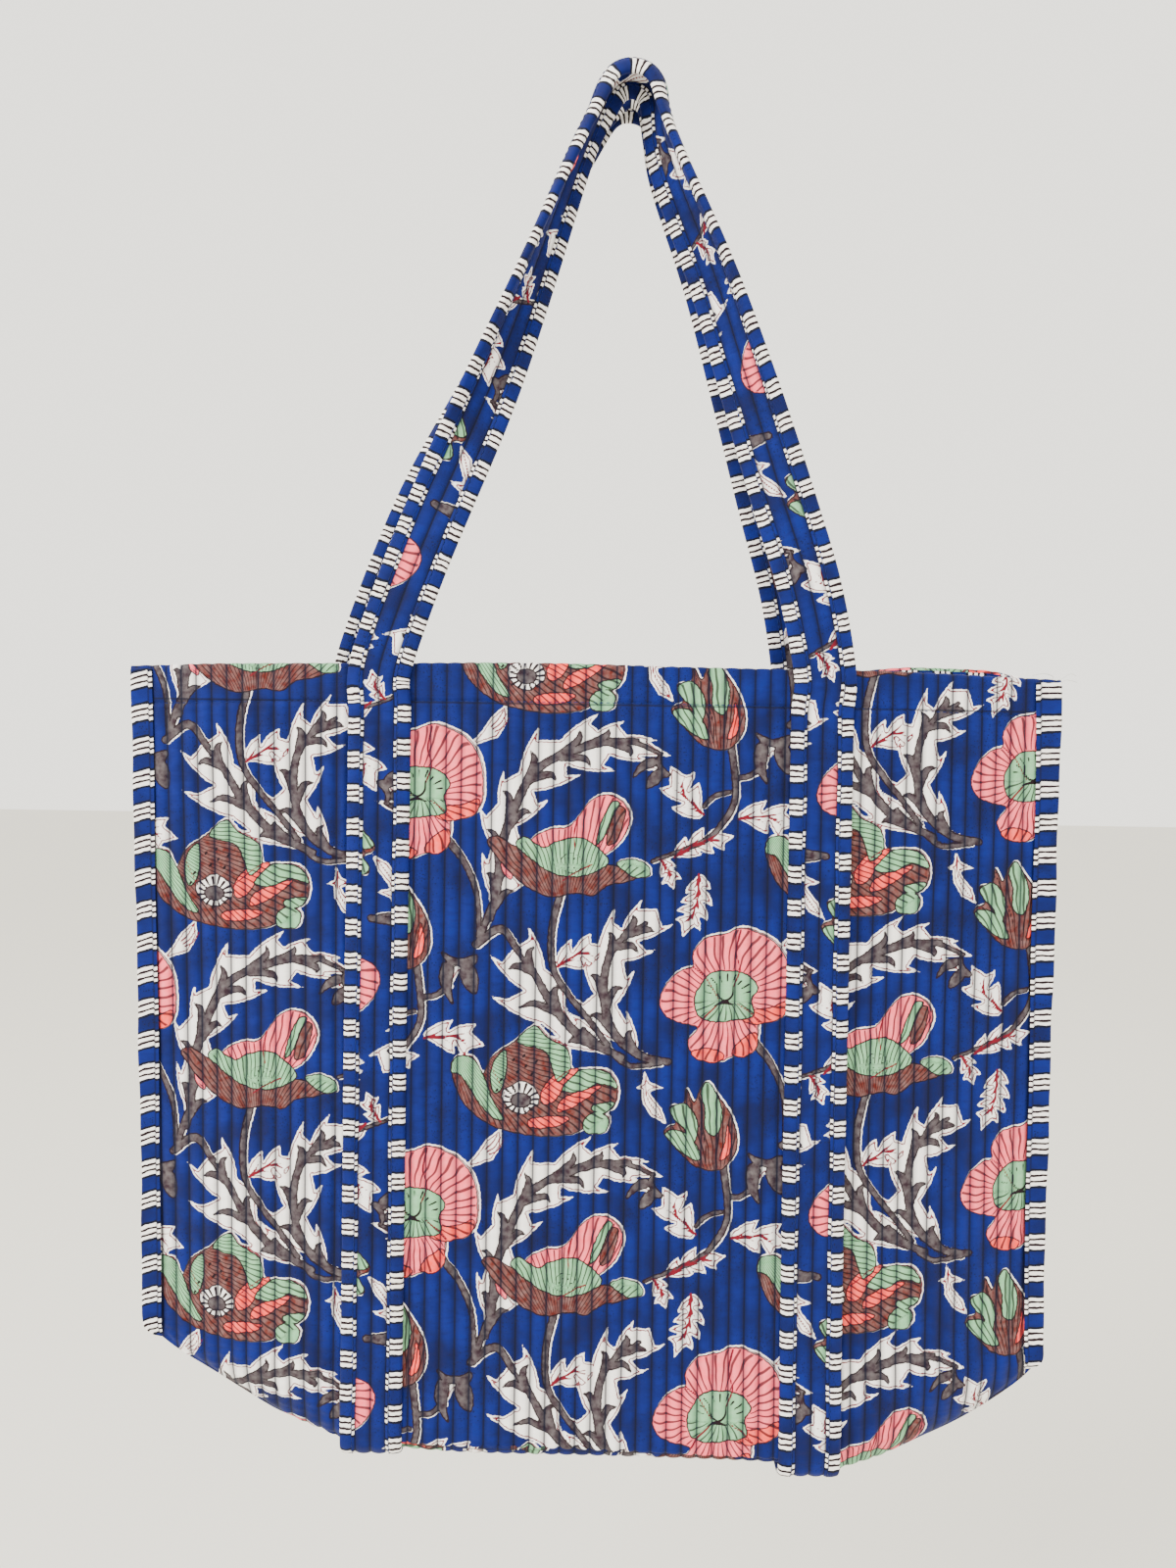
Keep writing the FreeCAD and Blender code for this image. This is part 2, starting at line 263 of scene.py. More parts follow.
def outer_face(x, z, side, depth):
    """Distance of the cover's outside from the middle plane; depth is measured from the mouth."""
    high = 1 - 0.45 * (1 - smoothstep(depth, HEM_DEPTH - 1.5 * MM, HEM_DEPTH + 1.5 * MM))
    stand = high * (1 - 0.8 * under_strap(x, side))
    stand = stand * smoothstep(edge(z, x) - np.abs(x), 1.5 * MM, 8 * MM)
    face = bulge(x, z) + PANEL + slack(x, z, side)
    face = face + pillow(x) * stand * (PILLOW + pucker(x, z, side))
    groove = np.exp(-((depth - HEM_DEPTH) / (0.7 * MM)) ** 2)
    return face - 0.9 * MM * groove * smoothstep(MOUTH_HALF - np.abs(x), 8 * MM, 10 * MM)


# ---- the print: distances in millimetres on the flat cloth, x across and y up -------------
INKS = ("white", "grey", "pink", "coral", "green", "brown", "seam", "dark")
FAR = 9.0
MARGIN = 5.0
REPEAT_DOWN = 206.0
REPEAT_ACROSS = 151.5
COLUMN_RISE = 109.0         # how much higher the next column of the repeat stands
REACH_LEFT, REACH_RIGHT = 140.0, 60.0    # how far one repeat reaches from its open poppy
REACH_DOWN, REACH_UP = 200.0, 90.0


class Print:
    """Signed distance to each ink at every point of one piece of cloth, negative inside."""

    def __init__(self, x, y):
        self.x = x
        self.y = y
        self.ink = {name: np.full(len(x), FAR) for name in INKS}
        self.phase = np.zeros(len(x))

    def near(self, points):
        """The cloth's points in and around an outline."""
        low = np.min(points, axis=0) - MARGIN
        high = np.max(points, axis=0) + MARGIN
        inside = (self.x > low[0]) & (self.x < high[0]) & (self.y > low[1]) & (self.y < high[1])
        return np.nonzero(inside)[0]

    def add(self, name, where, distance):
        """Joins a shape to an ink, given its distance at some of the points."""
        self.ink[name][where] = np.minimum(self.ink[name][where], distance)

    def shape(self, name, outline):
        """Fills a closed outline with an ink and returns where it looked and the distances."""
        where = self.near(outline)
        distance = polygon_distance(self.x[where], self.y[where], outline)
        self.add(name, where, distance)
        return where, distance

    def stroke(self, name, line, widths, white_edge=0.0):
        """A tapering line; white_edge leaves bare cloth showing along its right side."""
        line = np.asarray(line, float)
        where = self.near(line)
        if not len(where):
            return
        widths = np.interp(np.linspace(0, 1, len(line)), np.linspace(0, 1, len(widths)), widths)
        distance = line_distance(self.x[where], self.y[where], line, widths / 2)
        self.add(name, where, distance)
        if white_edge:
            moved = line + np.array([white_edge, -0.5 * white_edge])
            distance = line_distance(self.x[where], self.y[where], moved, widths / 2)
            self.add("white", where, distance)


def nearest_share(px, py, ex, ey):
    """How far along the edge (ex, ey) its nearest point to (px, py) lies, from 0 to 1."""
    return np.clip((px * ex + py * ey) / (ex * ex + ey * ey + 1e-9), 0, 1)


def polygon_distance(x, y, outline):
    """Signed distance to a closed outline, negative inside (even-odd)."""
    best = np.full(len(x), 1e9)
    inside = np.zeros(len(x), bool)
    for (ax, ay), (bx, by) in zip(outline, np.roll(outline, -1, axis=0)):
        ex, ey = bx - ax, by - ay
        px, py = x - ax, y - ay
        t = nearest_share(px, py, ex, ey)
        best = np.minimum(best, (px - ex * t) ** 2 + (py - ey * t) ** 2)
        crosses = ((ay > y) != (by > y)) & (px < ex * py / (ey if ey else 1e-9))
        inside ^= crosses
    return np.where(inside, -1, 1) * np.sqrt(best)


def line_distance(x, y, line, radii):
    """Distance to a line of varying thickness, negative inside it."""
    best = np.full(len(x), 1e9)
    for (ax, ay), (bx, by), ra, rb in zip(line, line[1:], radii, radii[1:]):
        ex, ey = bx - ax, by - ay
        px, py = x - ax, y - ay
        t = nearest_share(px, py, ex, ey)
        distance = np.hypot(px - ex * t, py - ey * t) - (ra + (rb - ra) * t)
        best = np.minimum(best, distance)
    return best


class Motif:
    """Draws in its own frame: a place on the cloth, a turn and a size."""

    def __init__(self, cloth, place, turn=0.0, size=1.0):
        self.cloth = cloth
        self.place = np.array(place, float)
        angle = math.radians(turn)
        self.turn = size * np.array([[math.cos(angle), math.sin(angle)],
                                     [-math.sin(angle), math.cos(angle)]])
        self.size = size

    def at(self, points):
        """Places on the cloth of points in the motif's frame."""
        return np.array(points, float) @ self.turn + self.place

    def blob(self, name, points, halo=0.0, per_span=6):
        """A smooth closed shape; halo leaves a rim of white cloth up and to its right."""
        outline = self.at(spline(points, per_span, closed=True))
        where, distance = self.cloth.shape(name, outline)
        if halo:
            moved = self.cloth.near(outline)
            shift = np.array([0.55, 0.35]) * halo
            rim = polygon_distance(self.cloth.x[moved] - shift[0], self.cloth.y[moved] - shift[1],
                                   outline)
            self.cloth.add("white", moved, rim - 0.45 * halo)
        return where, distance

    def sharp(self, name, points):
        """A closed shape with corners."""
        return self.cloth.shape(name, self.at(points))

    def line(self, name, points, widths, white_edge=0.0):
        """A smooth tapering line through the points."""
        self.cloth.stroke(name, self.at(spline(points, 5)), np.array(widths) * self.size, white_edge)

    def ring(self, name, centre, radius, width, squash):
        """A thin oval line."""
        angles = np.linspace(0, 2 * math.pi, 25)
        round_line = np.stack([np.cos(angles), squash * np.sin(angles)], 1) * radius + centre
        self.cloth.stroke(name, self.at(round_line), [width, width])

    def rays(self, where, distance, centre, count, swirl=0.0, cut=-135.0):
        """Phase of fine lines that fan out from a centre, counted from the cut angle."""
        back = np.linalg.inv(self.turn)
        local = (np.stack([self.cloth.x[where], self.cloth.y[where]], 1) - self.place) @ back
        local = local - np.array(centre)
        angle = np.arctan2(local[:, 1], local[:, 0]) - math.radians(cut)
        angle = np.mod(angle, 2 * math.pi)
        radius = np.hypot(local[:, 0], local[:, 1])
        phase = angle * count / (2 * math.pi) + swirl * radius
        keep = distance < 2.5
        self.cloth.phase[where[keep]] = phase[keep]


def bend_between(start, pull, end, count=5):
    """Points along a curve from start to end, drawn towards a third point."""
    t = np.linspace(0, 1, count, endpoint=False)[:, None]
    return (1 - t) ** 2 * np.array(start) + 2 * t * (1 - t) * np.array(pull) + t ** 2 * np.array(end)


def big_leaf(motif, left, right, end, spine):
    """A broad white leaf. Each lobe is given as its notch and its tip, from the stalk upwards."""
    rib = 4.2

    def lobe(notch, tip, hand):
        ahead = np.subtract(tip, notch)
        belly = (np.array(notch) + tip) / 2 + 0.16 * hand * np.array([-ahead[1], ahead[0]])
        point = tip + 0.22 * ahead
        after = tip - 0.12 * ahead - 0.10 * hand * np.array([-ahead[1], ahead[0]])
        return list(bend_between(notch, belly, point)) + [tuple(point), tuple(after)]

    spine = spline(spine, 8)
    up, down = [], []
    for notch, tip in left:
        up += lobe(notch, tip, 1)
    for notch, tip in right:
        down += lobe(notch, tip, -1)
    motif.sharp("white", [tuple(spine[0])] + up + [end] + down[::-1])
    widths = np.array([rib * 0.8, rib, rib * 0.85, rib * 0.4]) * motif.size
    motif.cloth.stroke("grey", motif.at(spine), widths)
    for notch, tip in left + right:
        towards = 0.25 * np.array(notch) + 0.75 * np.array(tip)
        nearest = int(np.argmin(np.hypot(*(spine - towards).T)))
        root = spine[max(nearest - 6, 0)]
        reach = root + 0.82 * (towards - root)
        bend = 0.5 * (root + reach) + 0.3 * (spine[nearest] - root)
        motif.line("grey", [root, bend, reach], [rib * 0.9, rib * 0.75, 0.2])


def stem(motif, points, widths, white_edge=0.9):
    """A grey stalk, from its foot up, with bare cloth left along one side."""
    motif.line("grey", points, widths, white_edge)


def poppy_open(motif):
    """A poppy seen from the front: pink petals, green heart, coral folds below."""
    petals = [(-32, -3), (-29, 6), (-22, 13), (-16, 15), (-16, 22), (-10, 29), (-1, 31), (7, 34),
              (15, 32), (24, 27), (30, 18), (32, 7), (31, -5), (25, -11), (17, -12), (16, -19),
              (13, -27), (4, -29), (-4, -32), (-14, -29), (-18, -22), (-13, -15), (-20, -13),
              (-28, -10)]
    where, distance = motif.blob("pink", petals, halo=1.6, per_span=4)
    motif.rays(where, distance, (0.0, -1.0), 40, swirl=0.018, cut=-133)
    motif.blob("coral", [(7, -9), (13, -6), (22, -5), (30, -2), (29, -9), (22, -12), (13, -13)])
    motif.blob("coral", [(-16, -27), (-8, -25), (0, -28), (-3, -32), (-12, -31)])
    motif.blob("coral", [(7, -22), (15, -17), (16, -24), (11, -29), (4, -28)])
    heart, depth = motif.blob("green", [(-15, 0), (-12, 6), (-7, 12), (3, 13), (11, 11), (16, 5), (13, -1),
                                        (14, -9), (5, -11), (-5, -12), (-13, -9)])
    heart = heart[depth < 0.2]
    motif.cloth.phase[heart] = 0.0
    lower = heart[motif.cloth.y[heart] < motif.place[1] - 2]
    motif.rays(lower, np.zeros(len(lower)), (0.5, 1.5), 25, swirl=0.04)
    for fold in ([(-16, 15), (-10, 10), (-6, 4), (-3, -1)], [(7, 33), (5, 22), (7, 14), (4, 5)],
                 [(17, -12), (12, -7), (6, -3)], [(-13, -15), (-9, -9), (-3, -3)]):
        motif.line("seam", fold, [1.0, 0.8])
    motif.line("dark", [(-4, 6), (-3.5, 1), (0, -1.5), (3.5, 1), (4, 6)], [0.9, 1.2, 0.9])
    motif.line("dark", [(-5, -4), (0, -2.5), (5, -4)], [0.8, 1.6, 0.8])
    for turn in range(9):
        angle = math.radians(10 + turn * 20)
        reach = 11.5 + math.sin(turn * 2.3)
        start = (1.0 + 8.0 * math.cos(angle), 1.0 + 7.0 * math.sin(angle))
        end = (1.0 + reach * math.cos(angle), 1.0 + 0.9 * reach * math.sin(angle))
        motif.line("dark", [start, end], [0.7, 1.0])


def poppy_side(motif):
    """A poppy seen from the side: brown bowl, pink back petals and a round seed head."""
    back = [(-19, 3), (-16, 9), (-8, 13), (0, 14), (5, 19), (11, 27), (19, 30), (27, 26), (30, 18),
            (26, 8), (18, 1), (4, -2), (-8, -1)]
    where, distance = motif.blob("pink", back, halo=1.4)
    bowl = [(-39, 6), (-34, 9), (-27, 5), (-19, 2), (-12, -4), (-2, -9), (8, -8), (18, -4), (30, -6),
            (37, -8), (30, -12), (20, -14), (13, -19), (4, -18), (-8, -20), (-20, -15), (-30, -6)]
    motif.blob("green", [(-25, 5), (-21, 9), (-16, 6), (-11, 4), (-5, 7), (6, 9), (15, 4), (20, -3),
                         (10, -9), (0, -10), (-8, -8), (-16, -3)])
    motif.blob("green", [(24, -3), (32, -1), (39, -4), (40, -9), (33, -10), (28, -7)], halo=0.8)
    where_bowl, distance_bowl = motif.blob("brown", bowl)
    both = np.union1d(where, where_bowl)
    reach = np.full(len(motif.cloth.x), FAR)
    reach[where] = distance
    reach[where_bowl] = np.minimum(reach[where_bowl], distance_bowl)
    motif.rays(both, reach[both], (0.0, -34.0), 104, cut=-90)
    motif.blob("brown", [(24, 8), (28, 22), (24, 24), (20, 14), (19, 6)])
    motif.blob("green", [(18, 10), (22, 20), (25, 26), (21, 26), (16, 16), (14, 6)])
    motif.blob("green", [(-5, -2), (-1, 3), (6, 2), (8, -4), (5, -9), (-2, -9)])
    motif.ring("dark", (2.0, -3.5), 5.4, 0.55, 0.9)
    for turn in range(6):
        angle = turn * math.pi / 3
        spot = np.array([2.0 + 2.6 * math.cos(angle), -3.5 + 2.3 * math.sin(angle)])
        motif.line("dark", [spot, spot + 0.9 * (spot - (2.0, -3.5)) / 2.6], [0.9, 0.6])
    motif.line("seam", [(5, 19), (3, 10), (4, 3)], [1.0, 0.8])
    motif.line("seam", [(12, -4), (4, -8), (-2, -12)], [0.85, 0.7])
    motif.blob("pink", [(-32, -3), (-27, -5), (-27, -12), (-31, -9)])


def poppy_turned(motif):
    """A half-turned poppy: striped brown and green petals round a stamened grey heart."""
    whole = [(-38, 10), (-36, 17), (-28, 17), (-23, 9), (-18, 18), (-8, 25), (2, 33), (9, 27),
             (18, 22), (20, 12), (28, 12), (38, 11), (43, 3), (41, -7), (32, -12), (24, -19),
             (8, -21), (-8, -19), (-20, -15), (-32, -5)]
    where, distance = motif.blob("brown", whole, halo=1.5, per_span=5)
    motif.rays(where, distance, (-44.0, 30.0), 150, cut=120)
    motif.blob("green", [(-38, 10), (-36, 17), (-28, 17), (-22, 8), (-18, -3), (-12, -13), (-19, -11),
                         (-27, -1), (-33, 8)])
    motif.blob("green", [(-6, 25), (2, 33), (9, 27), (18, 22), (20, 12), (14, 6), (11, 13), (7, 21)])
    motif.blob("green", [(-17, 16), (-12, 21), (-11, 13), (-13, 3), (-17, 0), (-19, 8)])
    motif.blob("coral", [(6, 1), (12, 9), (20, 12), (24, 12), (18, 4), (12, -4), (7, -5)])
    motif.blob("green", [(16, 2), (24, 11), (32, 12), (39, 10), (43, 3), (34, 5), (25, 1)])
    motif.blob("coral", [(16, -3), (26, 2), (35, 4), (30, -1), (21, -7), (14, -9)])
    motif.blob("coral", [(0, -13), (10, -11), (20, -12), (14, -16), (2, -17)])
    motif.blob("green", [(27, -13), (33, -9), (39, -12), (37, -19), (28, -19)], halo=1.2)
    motif.blob("green", [(31, -6), (39, -4), (42, -5), (38, -9), (32, -9)])
    wobble = 0.7 * np.sin(np.arange(36).reshape(18, 2) * 2.3)
    near, rim = motif.sharp("white", ring_points(-4.0, -2.0, 9.0, 7.6, 18) + wobble)
    for name in ("brown", "green", "coral", "pink"):
        motif.cloth.ink[name][near] = np.maximum(motif.cloth.ink[name][near], -rim)
    motif.blob("grey", ring_points(-4.0, -3.4, 5.0, 3.6, 10))
    for turn in range(15):
        angle = turn * 2 * math.pi / 15
        reach = 8.3 + 0.6 * math.sin(turn * 2.4)
        inner = (-4.0 + 4.6 * math.cos(angle), -3.2 + 3.9 * math.sin(angle))
        outer = (-4.0 + reach * math.cos(angle), -2.8 + reach * 0.9 * math.sin(angle))
        motif.line("dark", [inner, outer], [0.9, 1.4])
    for x, y in ((-6, 10), (-2, 13), (1, 9), (-8, 16), (-3, 18), (3, 15), (-14, 6), (-16, 1)):
        motif.line("dark", [(x, y), (x + 0.6, y + 0.9)], [1.2, 1.2])
    motif.line("seam", [(-19, 14), (-14, 4), (-11, -2)], [0.7, 0.6])
    motif.line("seam", [(20, 12), (12, 6), (5, 0)], [0.7, 0.6])


def ring_points(x, y, across, up, count):
    """Points round an oval."""
    angles = np.linspace(0, 2 * math.pi, count, endpoint=False)
    return np.stack([x + across * np.cos(angles), y + up * np.sin(angles)], 1)


def bud(motif):
    """A closing bud: brown and green petals that end in points."""
    whole = [(1, -19), (-8, -15), (-15, -6), (-20, 2), (-19, 5), (-14, 7), (-16, 15), (-9, 16), (-7, 23),
             (-4, 16), (0, 22), (4, 25), (8, 18), (13, 8), (15, -3), (13, -12), (7, -18)]
    where, distance = motif.blob("brown", whole, halo=1.0, per_span=5)
    motif.rays(where, distance, (1.0, -34.0), 70, cut=-90)
    motif.blob("green", [(-16, 14), (-9, 16), (-4, 9), (-4, 1), (-8, -6), (-10, 3), (-14, 8)])
    motif.blob("green", [(4, 25), (8, 17), (9, 7), (5, -2), (0, 2), (1, 12), (0, 20)])
    motif.blob("green", [(-20, 2), (-13, 3), (-6, -4), (-4, -13), (-12, -9)])
    motif.blob("coral", [(5, -14), (9, -5), (11, 3), (12, -5), (10, -12)])
    motif.line("dark", [(-2, -15), (-1, -4), (-4, 8), (-7, 19)], [0.7, 0.8, 0.5])
    motif.line("dark", [(3, -15), (6, -3), (9, 10)], [0.6, 0.8, 0.5])


def calyx(motif):
    """A small grey calyx of three pointed leaves round a white star."""
    motif.blob("grey", [(-9, 9), (-1, 6), (8, 8), (6, 2), (-4, 3), (-7, 5)])
    motif.blob("grey", [(-8, 4), (-3, 2), (-4, -8), (-3, -16), (-8, -10), (-10, -3)])
    motif.blob("grey", [(1, 3), (6, 3), (9, -3), (8, -11), (3, -8), (0, -2)])
    motif.sharp("white", [(-7, 3), (0, 5.5), (7, 4), (2.5, 1.5), (2, -6), (-0.5, -0.5), (-5, -9),
                          (-4, 0)])


def sprig(motif, lobes, length, width):
    """A small white oak-like leaf: lobes that swell out to forward points, with red veins."""
    line = spline([(0, 0), (length * 0.45, length * 0.07), (length * 0.85, 0)], 12)
    steps = np.linspace(0, 1, len(line))
    along = np.gradient(line, axis=0)
    along /= np.linalg.norm(along, axis=1)[:, None] + 1e-9
    across = np.stack([-along[:, 1], along[:, 0]], 1)
    rib = 1.25

    def at(t, side=0.0):
        t = min(max(t, 0.0), 1.0)
        middle = np.array([np.interp(t, steps, line[:, k]) for k in (0, 1)])
        normal = np.array([np.interp(t, steps, across[:, k]) for k in (0, 1)])
        return middle + normal * side

    sides = {1: [], -1: []}
    veins = []
    for side in (1, -1):
        offset = 0.35 / lobes if side < 0 else 0.0
        for lobe in range(lobes):
            start = lobe / lobes * 0.92 + offset * 0.9
            tip = min(start + 1.06 / lobes, 0.97)
            swell = side * width * (0.62 + 0.38 * math.sin(math.pi * (lobe + 0.6) / (lobes + 0.4)))
            notch = at(start, swell * 0.32)
            point = at(tip, swell * 1.08)
            after = at(start + 0.90 / lobes, swell * 0.32)
            sides[side] += list(bend_between(notch, at(start + 0.42 / lobes, swell * 0.98), point))
            sides[side] += list(bend_between(point, at(tip - 0.10 / lobes, swell * 0.7), after, 4))
            veins.append((at(start - 0.02), at(start + 0.45 / lobes, swell * 0.20),
                          at(start + 0.90 / lobes, swell * 0.60)))
    tip = line[-1] + along[-1] * width * 0.75
    motif.sharp("white", np.array([line[0]] + sides[1] + [tip] + sides[-1][::-1]))
    motif.cloth.stroke("seam", motif.at(line[:-2]), np.array([rib, rib * 0.75, rib * 0.3]) * motif.size)
    for bend in veins:
        motif.line("seam", bend, [rib * 0.95, rib * 0.7, rib * 0.05])


def dart(motif):
    """A two-part pointed white leaf."""
    motif.sharp("white", [(-3, 13), (0, 7), (7, 4), (0, 2.5), (1, 0), (6, -6), (9, -14), (1, -10),
                          (-3.5, -3), (-4, 3), (-7, 4), (-3.5, 6)])
    motif.line("seam", [(-2, 10), (-2, 3), (0, -3), (6, -11)], [0.95, 0.8])


def cone(motif):
    """A slim white cone with fine lines, under a half-turned poppy."""
    motif.sharp("white", [(0, 1.2), (6, 2.5), (14, 5.5), (24, 6.5), (19, -1), (11, -4.5), (5, -2.5),
                          (0, -1.2)])
    for offset in (-1.8, 0.4, 2.6):
        motif.line("seam", [(11, offset * 0.7), (16, offset), (21, offset + 2.2)], [0.85, 0.7])


def draw_repeat(cloth, place):
    """One repeat of the design, with its open poppy at the given place."""
    def motif(x, y, turn=0.0, size=1.0):
        return Motif(cloth, (place[0] + x, place[1] + y), turn, size)

    here = motif(0, 0)
    stem(here, [(15, -22), (24, -34), (30, -50), (31, -72)], [4.0, 3.0, 2.4, 2.4])
    stem(here, [(1, -84), (3, -99), (3, -110), (-2, -120), (-12, -130), (-37, -140)],
         [3.6, 3.0, 3.0, 2.6, 1.6])
    stem(here, [(3, -99), (10, -98), (17, -93)], [2.6, 2.4])
    stem(here, [(0, -106), (-7, -108), (-12, -113)], [2.2, 2.0], 0.6)
    stem(here, [(-80, 54), (-85, 32), (-84, 13), (-76, 0), (-67, -11), (-57, -24)],
         [3.4, 3.2, 3.0, 2.6, 2.6])
    stem(here, [(-55, -28), (-46, -34), (-31, -33)], [2.6, 2.4, 2.0])
    stem(here, [(-122, 24), (-110, 32), (-101, 21)], [3.6, 3.8, 3.0])
    big_leaf(here, [((-67, -27), (-84, -21)), ((-89, -14), (-110, -3)), ((-98, 2), (-112, 16))],
             [((-57, -23), (-74, -10)), ((-78, -5), (-82, 12)), ((-88, 13), (-95, 30))], (-104, 22),
             [(-50, -30), (-70, -20), (-84, -5), (-93, 10), (-101, 20)])
    big_leaf(here, [((-57, -21), (-73, -3)), ((-64, 1), (-69, 17)), ((-63, 19), (-56, 39)),
                    ((-51, 33), (-43, 45))],
             [((-42, -26), (-47, -10)), ((-53, -4), (-46, 10)), ((-50, 17), (-37, 22)),
              ((-43, 27), (-29, 34))], (-34, 43),
             [(-27, -32), (-41, -29), (-54, -18), (-59, -2), (-58, 16), (-51, 28), (-39, 36)])
    big_leaf(here, [((-116, -157), (-119, -140)), ((-115, -134), (-120, -118)), ((-112, -113), (-110, -100)),
                    ((-102, -98), (-94, -79)), ((-82, -82), (-67, -71)), ((-64, -77), (-53, -73)),
                    ((-50, -79), (-38, -81))],
             [((-109, -158), (-99, -152)), ((-107, -144), (-98, -134)), ((-103, -124), (-90, -113)),
              ((-95, -107), (-76, -100)), ((-79, -94), (-59, -96)), ((-58, -89), (-42, -91))], (-28, -89),
             [(-115, -169), (-112, -156), (-110, -134), (-103, -113), (-93, -96), (-73, -86), (-50, -82),
              (-33, -88)])
    stem(here, [(-121, -182), (-117, -170), (-114, -162)], [2.8, 3.2, 3.2])
    poppy_turned(motif(-95, -48))
    cone(motif(-124, -84, 36))
    poppy_side(motif(-78, -138))
    poppy_open(here)
    bud(motif(-8, -67, 8))
    calyx(motif(22, -86))
    calyx(motif(-36, -96, -60, 0.7))
    for x, y, turn, lobes, length, width in ((-12, -117, 128, 2, 26, 9.5), (5, -119, -3, 2, 28, 8.5),
                                             (-26, -138, 22, 3, 31, 6.5), (-14, -146, -102, 4, 31, 7.5),
                                             (-33, -139, -62, 2, 15, 5.0), (-82, 14, 24, 2, 24, 8.5)):
        sprig(motif(x, y, turn), lobes, length, width)
    dart(motif(-36, -49))


def print_fields(x, y, origin):
    """The named fields of the print at points of flat cloth, in metres from its origin."""
    cloth = Print((x - origin[0]) / MM, (y - origin[1]) / MM)
    first = math.floor((cloth.x.min() - REACH_RIGHT) / REPEAT_ACROSS)
    last = math.ceil((cloth.x.max() + REACH_LEFT) / REPEAT_ACROSS)
    for column in range(first, last + 1):
        for row in range(-8, 9):
            place = column * REPEAT_ACROSS, row * REPEAT_DOWN + column * COLUMN_RISE
            if cloth.y.min() - REACH_UP < place[1] < cloth.y.max() + REACH_DOWN:
                draw_repeat(cloth, place)
    ink = cloth.ink
    return {
        "ink_a": np.stack([ink["white"], ink["grey"], ink["pink"]], 1),
        "ink_b": np.stack([ink["coral"], ink["green"], ink["brown"]], 1),
        "ink_c": np.stack([ink["seam"], ink["dark"], cloth.phase], 1),
    }


# ---- materials --------------------------------------------------------------------------
def linear(red, green, blue):
    """A colour given the way a screen shows it, 0 to 255, in the renderer's own terms."""
    out = [((v / 255 + 0.055) / 1.055) ** 2.4 if v > 10 else v / 255 / 12.92 for v in (red, green, blue)]
    return (*out, 1.0)


BLUE = linear(0, 21, 100)
BLUE_DEEP = linear(0, 9, 64)
# near-black navy: painted shade in the quilting valleys, along the hem crease and along the tapes' stitches
# and bar borders; also the ink of the printed stipples
SHADE_AND_STIPPLE_NAVY = linear(0, 3, 26)
CREAM = linear(240, 236, 233)
PINK = linear(252, 92, 108)
CORAL = linear(244, 58, 46)
MINT = linear(112, 168, 122)
BROWN = linear(84, 20, 10)
GREY = linear(38, 20, 30)
OUTLINE = linear(20, 3, 10)
RED_LINE = linear(104, 4, 26)


class Shader:
    """Builds the nodes of one material; each method gives back a socket."""

    def __init__(self, name, roughness=0.8):
        self.material = bpy.data.materials.new(name)
        self.material.use_nodes = True
        self.tree = self.material.node_tree
        self.surface = self.tree.nodes["Principled BSDF"]
        self.surface.inputs["Roughness"].default_value = roughness
        self.surface.inputs["Specular IOR Level"].default_value = 0.18
        self.surface.inputs["Sheen Weight"].default_value = 0.03
        self.surface.inputs["Sheen Roughness"].default_value = 0.5

    def node(self, kind, values=(), **settings):
        made = self.tree.nodes.new(kind)
        for name, value in settings.items():
            setattr(made, name, value)
        for slot, value in values:
            if isinstance(value, bpy.types.NodeSocket):
                self.tree.links.new(value, made.inputs[slot])
            else:
                made.inputs[slot].default_value = value
        return made

    def field(self, name):
        return self.node("ShaderNodeAttribute", attribute_name=name).outputs["Vector"]

    def parts(self, vector):
        return self.node("ShaderNodeSeparateXYZ", [(0, vector)]).outputs

    def math(self, operation, *values):
        return self.node("ShaderNodeMath", enumerate(values), operation=operation).outputs[0]

    def step(self, value, low, high, lowest=0.0, highest=1.0):
        """Goes from lowest to highest as the value goes from low to high."""
        settings = [("From Min", low), ("From Max", high), ("To Min", lowest), ("To Max", highest)]
        return self.node("ShaderNodeMapRange", [("Value", value)] + settings).outputs["Result"]

    def mix(self, under, over, share):
        values = [(0, share), (6, under), (7, over)]
        return self.node("ShaderNodeMix", values, data_type="RGBA").outputs[2]

    def noise(self, vector, scale, detail=2.0, stretch=None):
        if stretch:
            vector = self.node("ShaderNodeVectorMath", [(0, vector), (1, stretch)],
                               operation="MULTIPLY").outputs[0]
        values = [("Vector", vector), ("Scale", scale), ("Detail", detail)]
        return self.node("ShaderNodeTexNoise", values).outputs["Fac"]

    def inside(self, distance, edge=0.10):
        """1 inside a shape and 0 outside."""
        return self.step(distance, edge, -edge)

    def line(self, distance, half, edge=0.09):
        """1 on the line where a distance is 0, half its width to either side."""
        away = self.math("ABSOLUTE", distance)
        return self.step(away, half + edge, half - edge)

    def finish(self, colour, height, strength, distance):
        """Joins a colour and a bump height to the surface and gives back the material."""
        values = [("Height", height), ("Strength", strength), ("Distance", distance)]
        bump = self.node("ShaderNodeBump", values)
        self.tree.links.new(bump.outputs[0], self.surface.inputs["Normal"])
        self.tree.links.new(colour, self.surface.inputs["Base Color"])
        return self.material


def weave(shader, flat):
    """Height of the threads and of small wrinkles in the cloth."""
    fine = shader.noise(flat, 2.6, 2.0)
    wrinkle = shader.noise(flat, 1.0, 2.0, stretch=(0.05, 0.42, 1.0))
    broad = shader.noise(flat, 0.09, 1.0)
    return shader.math("ADD", shader.math("MULTIPLY", fine, 0.35),
                       shader.math("MULTIPLY", wrinkle, shader.step(broad, 0.35, 0.7, 0.5, 2.2)))


